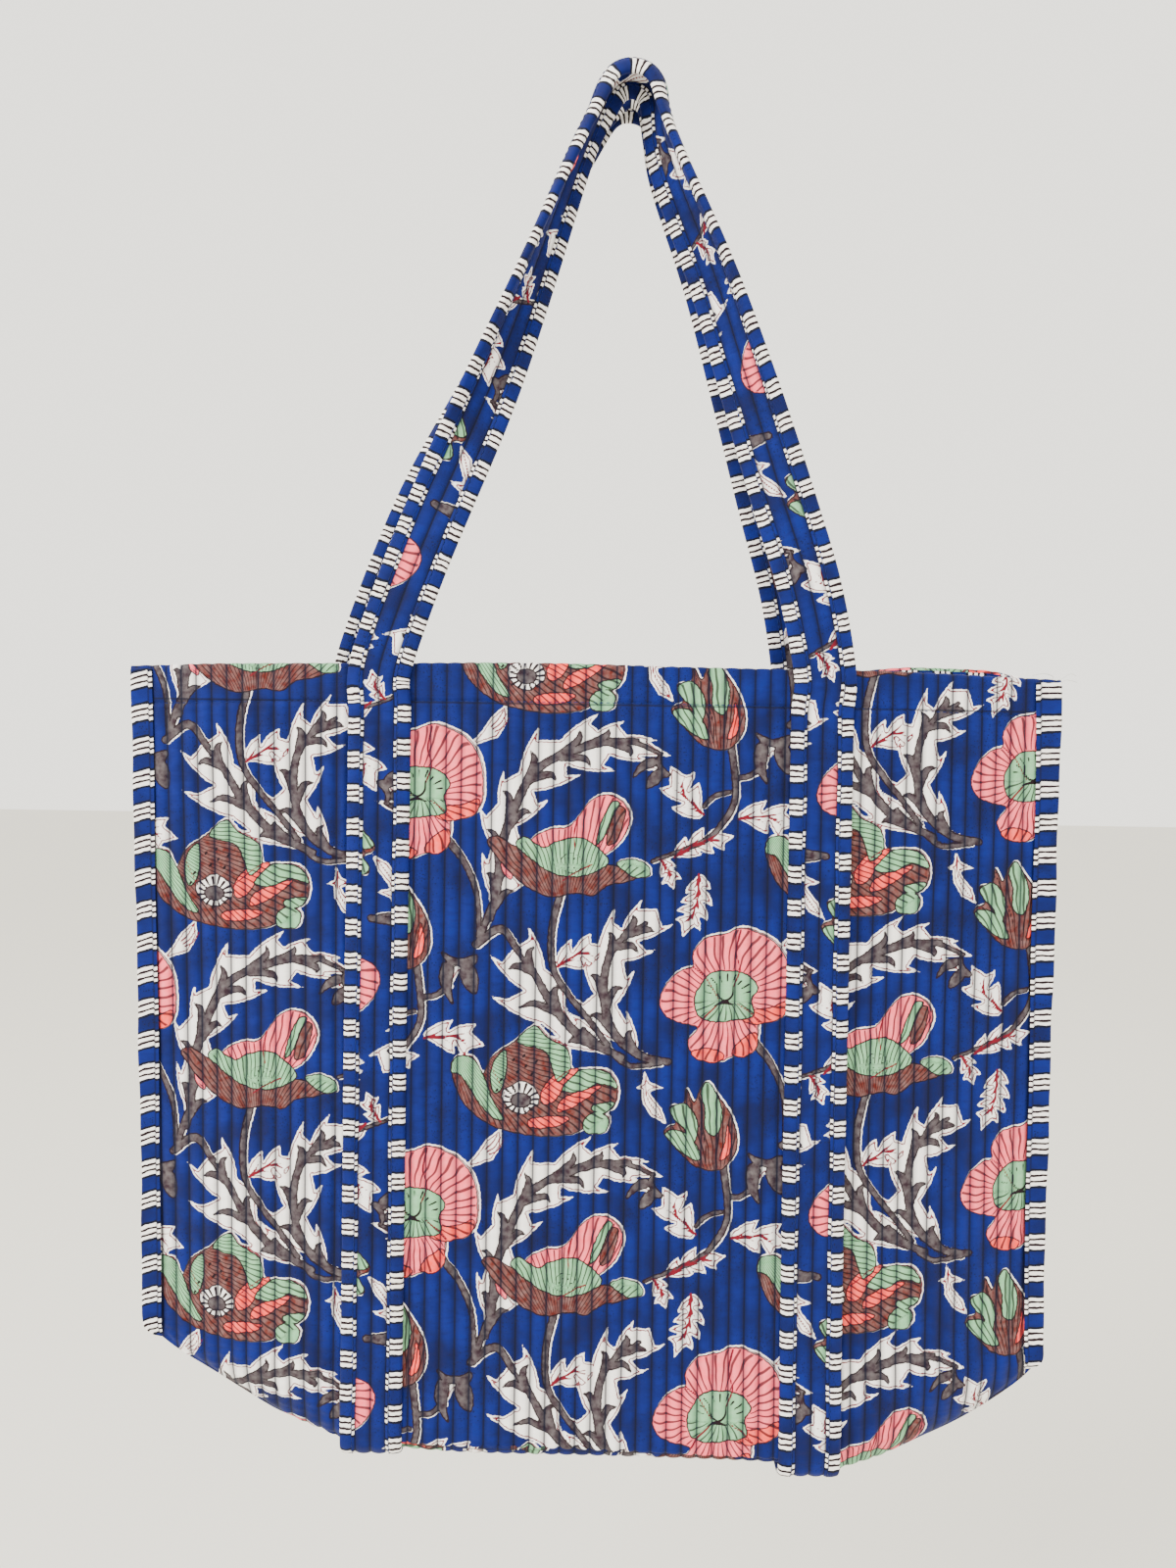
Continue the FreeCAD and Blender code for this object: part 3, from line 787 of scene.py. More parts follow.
def blue_ground(shader, flat):
    """Blue dye, mottled, with small dark stipples in patches."""
    patch = shader.noise(flat, 0.045, 3.0)
    streak = shader.noise(flat, 0.5, 2.0, stretch=(0.35, 1.0, 1.0))
    ground = shader.mix(BLUE_DEEP, BLUE, shader.step(patch, 0.35, 0.65))
    ground = shader.mix(ground, BLUE_DEEP, shader.step(streak, 0.5, 0.75, 0.0, 0.45))
    dots = shader.node("ShaderNodeTexVoronoi", [("Vector", flat), ("Scale", 0.75), ("Randomness", 0.9)])
    spot = shader.step(dots.outputs["Distance"], 0.30, 0.20)
    where = shader.step(shader.noise(flat, 0.03, 1.0), 0.46, 0.56)
    return shader.mix(ground, SHADE_AND_STIPPLE_NAVY, shader.math("MULTIPLY", spot, shader.math("MULTIPLY", where, 0.75)))


def printed_cotton(name, hem_crease_shade=False):
    """The printed cover cloth: inks, their outlines and hatching over blue, then painted shade at the
    quilting's stitch lines and, if asked, along the hem.
    """
    s = Shader(name)
    flat = s.field("flat")
    wobble = s.step(s.noise(flat, 0.55, 2.0), 0.3, 0.7, -0.22, 0.22)
    white, grey, pink = [s.math("ADD", part, wobble) for part in s.parts(s.field("ink_a"))]
    coral, green, brown = [s.math("ADD", part, wobble) for part in s.parts(s.field("ink_b"))]
    seam, dark, phase = s.parts(s.field("ink_c"))
    fade = s.step(s.noise(flat, 0.30, 2.0), 0.25, 0.7)
    colour = blue_ground(s, flat)
    colour = s.mix(colour, CREAM, s.inside(white))
    inset = s.math("MULTIPLY", s.line(s.math("ADD", white, 1.0), 0.27), s.step(fade, 0.1, 0.6, 0.7, 1.0))
    colour = s.mix(colour, RED_LINE, inset)
    for distance, ink, strength in ((grey, GREY, 0.95), (pink, PINK, 0.9), (brown, BROWN, 0.95),
                                    (coral, CORAL, 0.9), (green, MINT, 0.95)):
        worn = s.mix(ink, CREAM, s.step(fade, 0.0, 1.0, 0.10, 0.0))
        colour = s.mix(colour, worn, s.inside(distance))
        colour = s.mix(colour, OUTLINE, s.math("MULTIPLY", s.line(distance, 0.34), strength))
    petals = s.math("MINIMUM", s.math("MINIMUM", pink, coral), s.math("MINIMUM", green, brown))
    swing = s.math("ADD", phase, s.step(s.noise(flat, 0.07, 1.0), 0.2, 0.8, -0.4, 0.4))
    ray = s.math("ABSOLUTE", s.math("SUBTRACT", s.math("FRACT", swing), 0.5))
    hatch = s.math("MULTIPLY", s.step(ray, 0.165, 0.105), s.inside(s.math("ADD", petals, 0.6), 0.3))
    colour = s.mix(colour, OUTLINE, s.math("MULTIPLY", hatch, 0.85))
    colour = s.mix(colour, RED_LINE, s.inside(seam))
    colour = s.mix(colour, OUTLINE, s.inside(dark))
    across = s.math("DIVIDE", s.parts(flat)[0], CHANNEL / MM)
    valley = s.math("PINGPONG", across, 0.5)
    # painted shade: the cloth darkens towards each quilting stitch line, as if the channels' sides fell into
    # shade
    colour = s.mix(colour, SHADE_AND_STIPPLE_NAVY, s.step(valley, 0.34, 0.0, 0.0, 0.55))
    # a dark line on each stitch line: partly the navy quilting thread, partly painted shade in its crease
    colour = s.mix(colour, SHADE_AND_STIPPLE_NAVY, s.step(valley, 0.085, 0.03, 0.0, 0.75))
    if hem_crease_shade:
        # painted shade: a dark line along the crease where the hem is sewn down
        under_hem = s.math("ADD", s.parts(flat)[1], HEM_DEPTH / MM)
        colour = s.mix(colour, SHADE_AND_STIPPLE_NAVY, s.math("MULTIPLY", s.line(under_hem, 0.45, 0.35), 0.8))
    return s.finish(colour, weave(s, flat), 0.7, 0.28 * MM)


def striped_tape(name, slant=0.0, stitch=1.7):
    """Blue tape with groups of three white bars; the bars step where the stitches pull. The dark lines round
    each group and along the stitches are painted shade.
    """
    s = Shader(name)
    flat = s.field("flat")
    across, along, _ = s.parts(flat)
    along = s.math("ADD", along, s.math("MULTIPLY", across, slant))
    along = s.math("ADD", along, s.step(across, stitch + 0.2, stitch - 0.2, 0.0, 1.1))
    along = s.math("ADD", along, s.step(s.noise(flat, 0.25, 2.0), 0.3, 0.7, -0.3, 0.3))
    place = s.math("WRAP", along, STRIPE_PITCH, 0.0)
    middle = s.math("ABSOLUTE", s.math("SUBTRACT", place, 8.0))
    colour = blue_ground(s, flat)
    colour = s.mix(colour, CREAM, s.step(middle, 3.85, 3.65))
    colour = s.mix(colour, OUTLINE, s.line(s.math("SUBTRACT", middle, 1.45), 0.58))
    # painted shadow: a dark line along the top and bottom border of each group of bars
    colour = s.mix(colour, SHADE_AND_STIPPLE_NAVY, s.line(s.math("SUBTRACT", middle, 4.35), 0.6))
    # along the stitch line: partly the dark thread, partly painted shade in the groove it pulls
    pulled = s.line(s.math("SUBTRACT", across, stitch), 0.25, 0.2)
    colour = s.mix(colour, SHADE_AND_STIPPLE_NAVY, s.math("MULTIPLY", pulled, 0.6))
    return s.finish(colour, weave(s, flat), 0.6, 0.25 * MM)


def plain_cotton(name, colour_a, colour_b, roughness=0.85):
    """Unprinted cotton or thread, mottled between two colours."""
    s = Shader(name, roughness)
    flat = s.field("flat")
    colour = s.mix(colour_a, colour_b, s.step(s.noise(flat, 0.1, 3.0), 0.3, 0.7))
    return s.finish(colour, weave(s, flat), 0.5, 0.2 * MM)


# ---- building and dressing pieces -------------------------------------------------------
def dress(piece, material, body="bag"):
    """Gives a piece its material and slot, and the body it rides on unless body is None."""
    piece.data.materials.append(material)
    if body:
        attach(piece, body)
    return piece


def flat_field(x, y):
    """Places on the flat cloth in millimetres, for the weave and the quilting lines."""
    x, y = np.broadcast_arrays(x, y)
    return np.stack([x.ravel() / MM, y.ravel() / MM, np.zeros(x.size)], 1)


def bag_points(side, x, y, z):
    """Mesh points from places in a panel's own frame, after the hanging cloth's sideways set."""
    return np.stack([(x + lean(x, z)).ravel() + BAG_X, side * y.ravel(), z.ravel()], 1)


def ply_grid(side, half, columns, rows, top_drop=0.0, low_lift=0.0):
    """Flat x, mouth line, height and fitted x of one ply of a panel, from mouth to base seam."""
    flat_x = np.linspace(-1, 1, columns)[None, :] * half
    top = mouth_height(flat_x, side) - top_drop
    low = base_seam(flat_x) + low_lift
    z = top + (low - top) * np.linspace(0, 1, rows)[:, None]
    return flat_x, top, z, flat_x * seam_half(z) / MOUTH_HALF


def cover(side, material, print_at):
    """The printed outer cloth of a panel, from inside the mouth down to the base seam."""
    flat_x, top, z, x = ply_grid(side, MOUTH_HALF, 520, 430)
    y = outer_face(flat_x, z, side, top - z)
    lip = (y[0] - bulge(x[0], z[0]) + 0.3 * MM) / 2
    rows = []
    for angle in np.linspace(math.pi, 0.18 * math.pi, 7):
        rows.append((x[0], y[0] - lip * (1 - math.cos(angle)), z[0] + lip * math.sin(angle),
                     z[0] - MOUTH_Z + lip * angle))
    rows.append((x, y, z, z - MOUTH_Z))
    closed = smoothstep(np.abs(x[-1]), 0.122, 0.134)
    drop = 1.6 * MM * (1 - closed) + 0.9 * MM * closed
    tuck = 2.0 * MM * (1 - closed) + (y[-1] - 0.02 * MM) * closed
    for angle in np.linspace(0.15, 1, 5) * math.pi / 2:
        rows.append((x[-1], y[-1] - tuck * (1 - math.cos(angle)), z[-1] - drop * math.sin(angle),
                     z[-1] - MOUTH_Z - drop * angle))
    x, y, z, flat_y = [np.vstack(part) for part in zip(*rows)]
    flat_x = np.broadcast_to(flat_x, x.shape)
    fields = {"flat": flat_field(flat_x, flat_y)}
    fields.update(print_fields(flat_x.ravel(), flat_y.ravel(), print_at))
    name = SIDE_WORD[side] + "_cover_cloth"
    piece = new_mesh(name, bag_points(side, x, y, z), grid_faces(*x.shape, flip=side < 0), fields)
    dress(piece, material)
    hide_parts(SIDE_WORD[side] + "_cover")


def lining(side, material):
    """The plain inner cloth of a panel."""
    flat_x, _, z, x = ply_grid(side, MOUTH_HALF - 1 * MM, 184, 80, 1.2 * MM, 0.5 * MM)
    y = bulge(x, z) + slack(x, z, side)
    y = y - 0.45 * MM * pillow(flat_x) * smoothstep(bulge(x, z), 0, 3 * MM)
    y = np.maximum(y + 0.2 * MM, 0.06 * MM)
    name = SIDE_WORD[side] + "_lining_cloth"
    fields = {"flat": flat_field(flat_x, z)}
    piece = new_mesh(name, bag_points(side, x, y, z), grid_faces(*z.shape, flip=side > 0), fields)
    dress(piece, material)
    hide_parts(SIDE_WORD[side] + "_lining")


def wadding(side, material):
    """The filling between cover and lining, a closed thin pad."""
    _, _, z, x = ply_grid(side, MOUTH_HALF - 2 * MM, 184, 60, 1.5 * MM, 2 * MM)
    middle = bulge(x, z) + slack(x, z, side)
    rows, columns = z.shape
    count = rows * columns
    points = [bag_points(side, x, middle + stand, z) for stand in (1.5 * MM, 0.55 * MM)]
    faces = [grid_faces(rows, columns, flip=side < 0), grid_faces(rows, columns, flip=side > 0) + count]
    rim = np.concatenate([np.arange(columns), columns * np.arange(1, rows) + columns - 1,
                          count - 2 - np.arange(columns - 1), columns * np.arange(rows - 2, 0, -1)])
    after = np.roll(rim, -1)
    band = np.stack([rim, after, after + count, rim + count], 1)
    faces.append(band if side > 0 else band[:, ::-1])
    fields = {"flat": np.vstack([flat_field(x + lean(x, z), z)] * 2)}
    piece = new_mesh(SIDE_WORD[side] + "_wadding_pad", np.vstack(points), np.vstack(faces), fields)
    dress(piece, material)
    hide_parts(SIDE_WORD[side] + "_wadding")


def hem_tape(side, material):
    """Striped tape sewn round the inside of the mouth."""
    half = MOUTH_HALF - SEAM_ALLOWANCE
    x = np.linspace(-1, 1, 220)[None, :] * half
    shares = np.linspace(0, 1, 9)[:, None]
    z = mouth_height(x, side) + 0.2 * MM - shares * (HEM_DEPTH + 0.2 * MM)
    x = np.broadcast_to(x, z.shape)
    y = bulge(x, z) + slack(x, z, side) - 0.75 * MM - 0.25 * MM * pillow(x)
    y = np.maximum(y, 0.10 * MM)
    fields = {"flat": flat_field(4 * MM + shares * HEM_DEPTH, x)}
    name = SIDE_WORD[side] + "_hem_tape"
    piece = new_mesh(name, bag_points(side, x, y, z), grid_faces(*z.shape, flip=side > 0), fields)
    dress(piece, material)
    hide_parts(SIDE_WORD[side] + "_hem_facing")


def base_section(x, stand):
    """Points round the base at x, from the front seam under the bag to the back seam."""
    floor = FLOOR_LINE + bottom_rise(x)
    seam = base_seam(x)
    deep = bulge(x, seam) + PANEL - 0.1 * MM + stand
    deep = deep * smoothstep(BASE_HALF + 0.6 * MM - np.abs(x), 0, 10 * MM) ** 0.5
    corner = np.minimum(5.0 * MM + stand, deep)
    lift = np.minimum(corner, np.maximum(base_wrap(x), 1.5 * MM))
    half = [(-deep, seam), (-deep - 0.15 * MM, seam - 0.4 * base_wrap(x))]
    for angle in np.linspace(0, math.pi / 2, 7):
        half.append((-deep + corner * (1 - math.cos(angle)), floor - stand + lift * (1 - math.sin(angle))))
    under = [((-deep + corner) * (1 - 2 * share), floor - stand) for share in (0.2, 0.4, 0.6, 0.8)]
    return half + under + [(-y, z) for y, z in half[::-1]]


def base_cloth(name, node, stand, material, flip, print_at=None):
    """One ply of the base panel; stand is how far outside the base's true surface it lies."""
    columns = 57
    grid = []
    for x in np.linspace(-BASE_HALF, BASE_HALF, 213):
        line = np.array(base_section(x, stand))
        lengths = running_length(line)
        along = np.linspace(0, max(lengths[-1], 1e-6), columns)
        y = np.interp(along, lengths, line[:, 0])
        z = np.interp(along, lengths, line[:, 1])
        grid.append(np.stack([np.full(columns, x), y, z, along - lengths[-1] / 2], 1))
    x, y, z, v = np.moveaxis(np.array(grid), 2, 0)
    reach = np.abs(v).max(axis=1, keepdims=True)
    hump = pillow(x) * 0.9 * MM * smoothstep(reach - np.abs(v), 0, 3 * MM)
    z = z - hump * (np.abs(v) < reach - 6 * MM)
    fields = {"flat": flat_field(x, v)}
    if print_at:
        fields.update(print_fields(x.ravel(), v.ravel(), print_at))
    piece = new_mesh(name, bag_points(1, x, y, z), grid_faces(*x.shape, flip=flip), fields)
    dress(piece, material)
    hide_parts(node)


def base_wadding(material):
    """The filling of the base panel, a closed thin pad."""
    xs = np.linspace(-BASE_HALF + 3 * MM, BASE_HALF - 3 * MM, 60)
    ring = [base_section(x, -0.8 * MM) + base_section(x, -2.1 * MM)[::-1] for x in xs]
    y, z = np.moveaxis(np.array(ring), 2, 0)
    rows, columns = y.shape
    x = np.repeat(xs[:, None], columns, 1)
    points = np.stack([x.ravel() + BAG_X, y.ravel(), z.ravel()], 1)
    faces = grid_faces(rows, columns, wrap=True).tolist()
    faces += [list(range(columns)), list(range((rows - 1) * columns, rows * columns))[::-1]]
    piece = new_mesh("base_wadding_pad", points, faces, {"flat": flat_field(x, y)})
    dress(piece, material)
    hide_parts("base_wadding")


def side_tape(hand, material):
    """Striped tape folded over the raw edges of one side seam, with rounded ends."""
    columns = 33
    top = mouth_height(np.array(hand * MOUTH_HALF), -1) + 0.8 * MM
    low = SEAM_ENDS[hand] - 1.0 * MM
    round_end = low + 9 * MM
    z = np.concatenate([np.linspace(top, top - 2 * MM, 5)[:-1],
                        np.linspace(top - 2 * MM, round_end, 170), np.linspace(round_end, low, 12)[1:]])
    turned = np.clip((round_end - z) / (9 * MM), 0, 1)
    seam = edge(np.maximum(z, round_end), np.full(len(z), float(hand)))
    width = np.interp(z, [low, top], TAPE_SHOWN[hand]) + 0.35 * MM * np.sin(z * 47 + 2 * hand)
    inner = seam - width
    under = [outer_face(hand * inner, z, side, np.maximum(top - z, 0)) for side in (-1, 1)]
    rest = np.maximum(*under) / 0.9 + 0.7 * MM
    outer = seam + 0.5 * MM + 0.25 * MM * np.sin(z * 61 + hand) + 0.2 * MM * np.sin(z * 143)
    outer = outer - (width - 0.6 * MM) * (1 - np.sqrt(1 - turned ** 2)) ** 1.1
    inner = inner + hand * lean(hand * seam, z)
    outer = outer + hand * lean(hand * seam, z)
    ends = np.clip((top - z) / (1.6 * MM), 0, 1)
    half = np.maximum(3.3 * MM, rest) * np.sqrt(np.clip(1 - (1 - ends) ** 2, 0.02, 1))
    half = half * (1 - 0.35 * turned ** 2)
    grid = []
    for share in np.linspace(0, 1, columns):
        away = abs(2 * share - 1)              # 1 at the two inner edges, 0 at the outer fold
        swell = np.sin(math.pi * min(1.0, (1 - away) * 1.6 + 0.12) / 2) ** 0.5
        x = inner + (outer - inner) * (1 - away ** 1.6)
        close = math.sin(math.pi / 2 * min(1.0, away / 0.28))
        seat = 0.10 * MM * (away > 0.93)
        y = (half * (0.90 + 0.16 * swell) - seat) * close * (-1 if share < 0.5 else 1)
        grid.append(np.stack([hand * x + BAG_X, y, z, np.full(len(z), (1 - away) * 11.0 * MM)], 1))
    grid = np.stack(grid, 1)
    word = "left" if hand < 0 else "right"
    fields = {"flat": flat_field(grid[..., 3], grid[..., 2])}
    faces = grid_faces(len(z), columns, flip=hand > 0)
    piece = new_mesh(word + "_side_tape", grid[..., :3].reshape(-1, 3), faces, fields)
    dress(piece, material)
    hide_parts(word + "_side_binding")


# ---- straps and handles -----------------------------------------------------------------
STRAP_STAND = PANEL + 0.35 * MM + STRAP_THICK / 2 + TAPE_STAND


def strap_shift(side, hand):
    """How far to one side a strap stands; only the back ones are shifted."""
    return BACK_SHIFT + hand * BACK_SPREAD if side > 0 else 0.0


def sewn_line(side, hand):
    """Middle line of a sewn strap from under the base up to the hem."""
    x = hand * STRAP_X + strap_shift(side, hand)
    floor = FLOOR_LINE + bottom_rise(x) - 1.9 * MM
    z = np.arange(floor + 8 * MM, HEM_Z, 12 * MM)
    y = bulge(x, z) + slack(x, z, side) + STRAP_STAND
    line = [(x, yy, zz) for yy, zz in zip(y, z)]
    corner = []
    for angle in np.linspace(math.pi / 2, 0, 5)[:-1]:
        corner.append((x, y[0] - 5 * MM + 5 * MM * math.cos(angle),
                       floor + 5 * MM - 5 * MM * math.sin(angle)))
    under = [(x, y[0] - 16 * MM, floor + 0.3 * MM), (x, y[0] - 10 * MM, floor)]
    return [(px, side * py, pz) for px, py, pz in under + corner + line]


def handle_line(side):
    """Stations along a whole strap: place, turn in degrees and half width across."""
    def leg(hand, rows):
        shift = strap_shift(side, hand)
        x0 = hand * STRAP_X + shift
        y0 = bulge(x0, HEM_Z) + slack(x0, HEM_Z, side) + STRAP_STAND
        out = [((BAG_X + x, y, z), 0.0, 15.0) for x, y, z in sewn_line(side, hand)]
        out.append(((BAG_X + x0, side * y0, HEM_Z), -1.0, 15.0))
        for x, z, turn, half in rows:
            rise = (z * MM - HEM_Z) / -HEM_Z
            y = y0 + (APEX_DEPTH - y0) * rise
            apart = (1 - rise) ** 1.5 if hand > 0 else 1 - rise ** 3
            out.append(((x * MM + shift * apart, side * y, z * MM), turn, half))
        return out

    stations = leg(-1, LEFT_LEG)
    for share in np.linspace(0, 1, 5):
        angle = math.radians(152 - 129 * share)
        place = (APEX_RADIUS * math.cos(angle), side * APEX_DEPTH,
                 APEX_MIDDLE_Z + APEX_RADIUS * math.sin(angle))
        stations.append((place, 84.0 - 6 * abs(2 * share - 1), 9.3))
    return stations + leg(1, RIGHT_LEG)[::-1]


class Strap:
    """Frames along one whole strap; point() places cloth on it."""

    def __init__(self, side):
        self.side = side
        stations = handle_line(side)
        rows = np.array([[*place, turn, half * MM] for place, turn, half in stations])
        dense = spline(rows, 16)
        lengths = running_length(dense[:, :3])
        count = int(lengths[-1] / STRAP_STEP)
        self.length = lengths[-1]
        self.along = np.linspace(0, lengths[-1], count)
        rows = np.stack([np.interp(self.along, lengths, dense[:, k]) for k in range(5)], 1)
        for _ in range(2):
            rows[2:-2] = (rows[:-4] + rows[1:-3] + rows[2:-2] + rows[3:-1] + rows[4:]) / 5
        self.centre = rows[:, :3]
        turn = np.radians(rows[:, 3])[:, None]
        tangent = np.gradient(self.centre, axis=0)
        tangent /= np.linalg.norm(tangent, axis=1)[:, None]
        flat = tangent * (1, 0, 1)
        upright = np.array([[1.0 if i < count / 2 else -1.0, 0, 0] for i in range(count)])
        inward = np.stack([flat[:, 2], np.zeros(count), -flat[:, 0]], 1)
        level = np.linalg.norm(flat, axis=1)[:, None]
        inward = np.where(level > 0.5, inward / np.maximum(level, 1e-6), upright)
        across = inward * np.cos(turn) + np.array([0, -side, 0]) * np.sin(turn)
        across -= tangent * np.sum(across * tangent, axis=1)[:, None]
        self.across = across / np.linalg.norm(across, axis=1)[:, None]
        self.out = side * np.cross(tangent, self.across)
        half = rows[:, 4]
        angles = np.linspace(1e-3, 2.2, 400)
        ratio = np.sin(angles) / angles
        self.curl = np.interp(np.minimum(half / (STRAP_WIDTH / 2), 0.9999), ratio[::-1], angles[::-1])
        self.curl = np.maximum(self.curl, 2e-3)
        self.bend = STRAP_WIDTH / 2 / self.curl

    def point(self, across, height):
        """Places cloth at distances across the strap and above its middle surface."""
        across, height = np.broadcast_arrays(np.asarray(across, float), np.asarray(height, float))
        across = np.atleast_2d(across)
        height = np.atleast_2d(height)
        bend = self.bend[:, None]
        theta = across / bend
        drop = bend * (1 - np.cos(self.curl[:, None])) / 2
        side_way = (bend - height) * np.sin(theta)
        out_way = bend * (1 - np.cos(theta)) + height * np.cos(theta) - drop
        return (self.centre[:, None] + self.across[:, None] * side_way[..., None]
                + self.out[:, None] * out_way[..., None])


def strap_face(across):
    """Height of the strap's front face above its middle: two channels between flat margins."""
    across = np.abs(across)
    inner = STRAP_WIDTH / 2 - TAPE_WIDTH
    stand = np.where(across < inner, 0.85 * MM * np.abs(np.sin(math.pi * across / CHANNEL)) ** 0.7, 0.0)
    return STRAP_THICK / 2 + stand


def strap_core(strap, name, material, nodes, print_at):
    """The quilted middle of a strap, a closed flat tube."""
    half = STRAP_WIDTH / 2 - 0.6 * MM
    channels = np.linspace(-7.5 * MM, 7.5 * MM, 31)
    margin = np.linspace(7.6 * MM, half - 1 * MM, 4)
    front = np.concatenate([[-half], -margin[::-1], channels, margin, [half]])
    back = np.linspace(half - 1 * MM, -half + 1 * MM, 11)
    high = strap_face(front)
    high[0] = high[-1] = 0
    across = np.concatenate([front, back])
    height = np.concatenate([high, np.full(len(back), -STRAP_THICK / 2)])
    ridge = 0.10 * MM * np.sin(strap.along / (0.9 * MM))[:, None] * (np.abs(across) < 7.4 * MM) * (height > 0)
    grid = strap.point(across, height) + strap.out[:, None] * ridge[..., None]
    flat_x, flat_y = np.broadcast_arrays(across[None], strap.along[:, None])
    fields = {"flat": flat_field(flat_x, flat_y)}
    fields.update(print_fields(-flat_x.ravel(), -flat_y.ravel(), print_at))
    faces = grid_faces(*flat_x.shape, wrap=True, flip=strap.side > 0)
    piece = new_mesh(name, grid.reshape(-1, 3), faces, fields)
    dress(piece, material, body=None)
    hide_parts(*nodes)
    return piece


def strap_tape(strap, name, edge_side, material, nodes):
    """Tape folded round one edge of a strap; edge_side is -1 outside and 1 inside."""
    fold = 0.34                                  # the share of the tape that turns round the edge
    share = np.linspace(0, 1, 27)
    away = np.abs(2 * share - 1)
    inner = STRAP_WIDTH / 2 - TAPE_WIDTH
    outer = STRAP_WIDTH / 2 + 0.25 * MM
    thick = STRAP_THICK / 2 + TAPE_STAND
    turn = np.clip(away / fold, 0, 1) * math.pi / 2
    flat_part = np.clip((away - fold) / (1 - fold), 0, 1)
    across = np.where(away < fold, outer - thick * (1 - np.cos(turn)),
                      outer - thick - (outer - thick - inner) * flat_part)
    swell = 0.45 * MM * np.sin(math.pi * np.clip(1 - flat_part, 0.0, 1)) ** 0.8 * (away >= fold)
    seat = 0.35 * MM * (flat_part > 0.97)
    pulled = 0.22 * MM * np.exp(-(((1 - flat_part) * 5.5 - 1.6) / 0.45) ** 2) * (away >= fold)
    height = np.where(share < 0.5, 1, -1) * (thick * np.sin(turn) + swell - seat - pulled)
    wave = 0.22 * MM * np.sin(strap.along * 97 + edge_side)[:, None] * (flat_part > 0.5)
    grid = strap.point(edge_side * (across + wave), height)
    flip = (edge_side > 0) == (strap.side > 0)
    fields = {"flat": flat_field((1 - away)[None] * 10.5 * MM, strap.along[:, None] + 5 * MM * edge_side)}
    piece = new_mesh(name, grid.reshape(-1, 3), grid_faces(*wave.shape, flip=flip), fields)
    dress(piece, material, body=None)
    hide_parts(*nodes)
    return piece


# ---- thread -----------------------------------------------------------------------------
STITCH_RINGS = ((0, 0.45, -0.15), (0.3, 1, 0.6), (0.7, 1, 0.6), (1, 0.45, -0.15))


def stitches(name, runs, material, radius=0.22 * MM, body="bag"):
    """Short stitches along runs of points, each run with the way the cloth faces.

    A ring gives how far along its stitch it stands, its thickness and its height, in radii.
    """
    round_ring = np.linspace(0, 2 * math.pi, 5, endpoint=False)
    points, faces, start = [], [], 0
    for line, facing in runs:
        lengths = running_length(line)
        starts = np.arange(STITCH_PITCH / 2, lengths[-1] - STITCH_PITCH, STITCH_PITCH)

        def sample(at, values):
            return np.stack([np.interp(at, lengths, values[:, k]) for k in range(3)], 1)

        block = []
        for t, thick, lift in STITCH_RINGS:
            at = starts + t * STITCH_SHARE * STITCH_PITCH
            spot = sample(at, line)
            ahead = sample(at + 0.5 * MM, line) - spot
            normal = sample(at, facing)
            ahead /= np.linalg.norm(ahead, axis=1)[:, None] + 1e-9
            normal /= np.linalg.norm(normal, axis=1)[:, None] + 1e-9
            side = np.cross(ahead, normal)
            for angle in round_ring:
                block.append(spot + normal * radius * (lift + thick * math.sin(angle))
                             + side * radius * thick * math.cos(angle))
        points.append(np.stack(block, 1).reshape(-1, 3))
        tube = grid_faces(4, 5, wrap=True)
        for quad in tube:
            faces.append(start + np.arange(len(starts))[:, None] * 20 + quad)
        start += 20 * len(starts)
    points = np.vstack(points)
    piece = new_mesh(name, points, np.vstack(faces), {"flat": points / MM})
    return dress(piece, material, body)


def loose_thread(name, start, points, material):
    """A thin thread end: a small tube along a bent line."""
    radius = 0.16 * MM
    line = spline([start] + [np.add(start, p) for p in points], 8)
    ahead = np.gradient(line, axis=0)
    ahead /= np.linalg.norm(ahead, axis=1)[:, None]
    side = np.cross(ahead, (0.3, 1, 0.2))
    side /= np.linalg.norm(side, axis=1)[:, None]
    up = np.cross(side, ahead)
    rings = []
    for angle in np.linspace(0, 2 * math.pi, 5, endpoint=False):
        rings.append(line + radius * (side * math.cos(angle) + up * math.sin(angle)))
    points = np.stack(rings, 1).reshape(-1, 3)
    piece = new_mesh(name, points, grid_faces(len(line), 5, wrap=True), {"flat": points / MM})
    dress(piece, material)


# ---- putting it together ----------------------------------------------------------------
print_cloth = printed_cotton("printed_cotton", hem_crease_shade=True)
strap_cloth = printed_cotton("printed_cotton_strap")
tape_cloth = striped_tape("striped_tape", slant=0.03)
side_tape_left = striped_tape("striped_tape_left", slant=0.34, stitch=1.2)
side_tape_right = striped_tape("striped_tape_right", slant=-0.05, stitch=1.2)
lining_cloth = plain_cotton("lining_cotton", linear(12, 70, 165), linear(4, 52, 140))
wadding_cloth = plain_cotton("cotton_wadding", linear(226, 222, 212), linear(210, 205, 195))
blue_thread = plain_cotton("blue_thread", linear(4, 26, 92), linear(2, 16, 62), 0.6)
pale_thread = plain_cotton("pale_thread", linear(215, 214, 210), linear(190, 190, 190), 0.6)

FRONT_PRINT = (0.0627, -0.1584)
BACK_PRINT = (0.018, -0.095)
cover(-1, print_cloth, FRONT_PRINT)
cover(1, print_cloth, BACK_PRINT)
for panel_side in (-1, 1):
    lining(panel_side, lining_cloth)
    wadding(panel_side, wadding_cloth)
    hem_tape(panel_side, tape_cloth)
for panel_hand in (-1, 1):
    side_tape(panel_hand, side_tape_left if panel_hand < 0 else side_tape_right)
base_cloth("base_cover_cloth", "base_cover", 0.0, print_cloth, False, (-0.02, 0.02))
base_cloth("base_lining_cloth", "base_lining", -2.6 * MM, lining_cloth, True)
base_wadding(wadding_cloth)

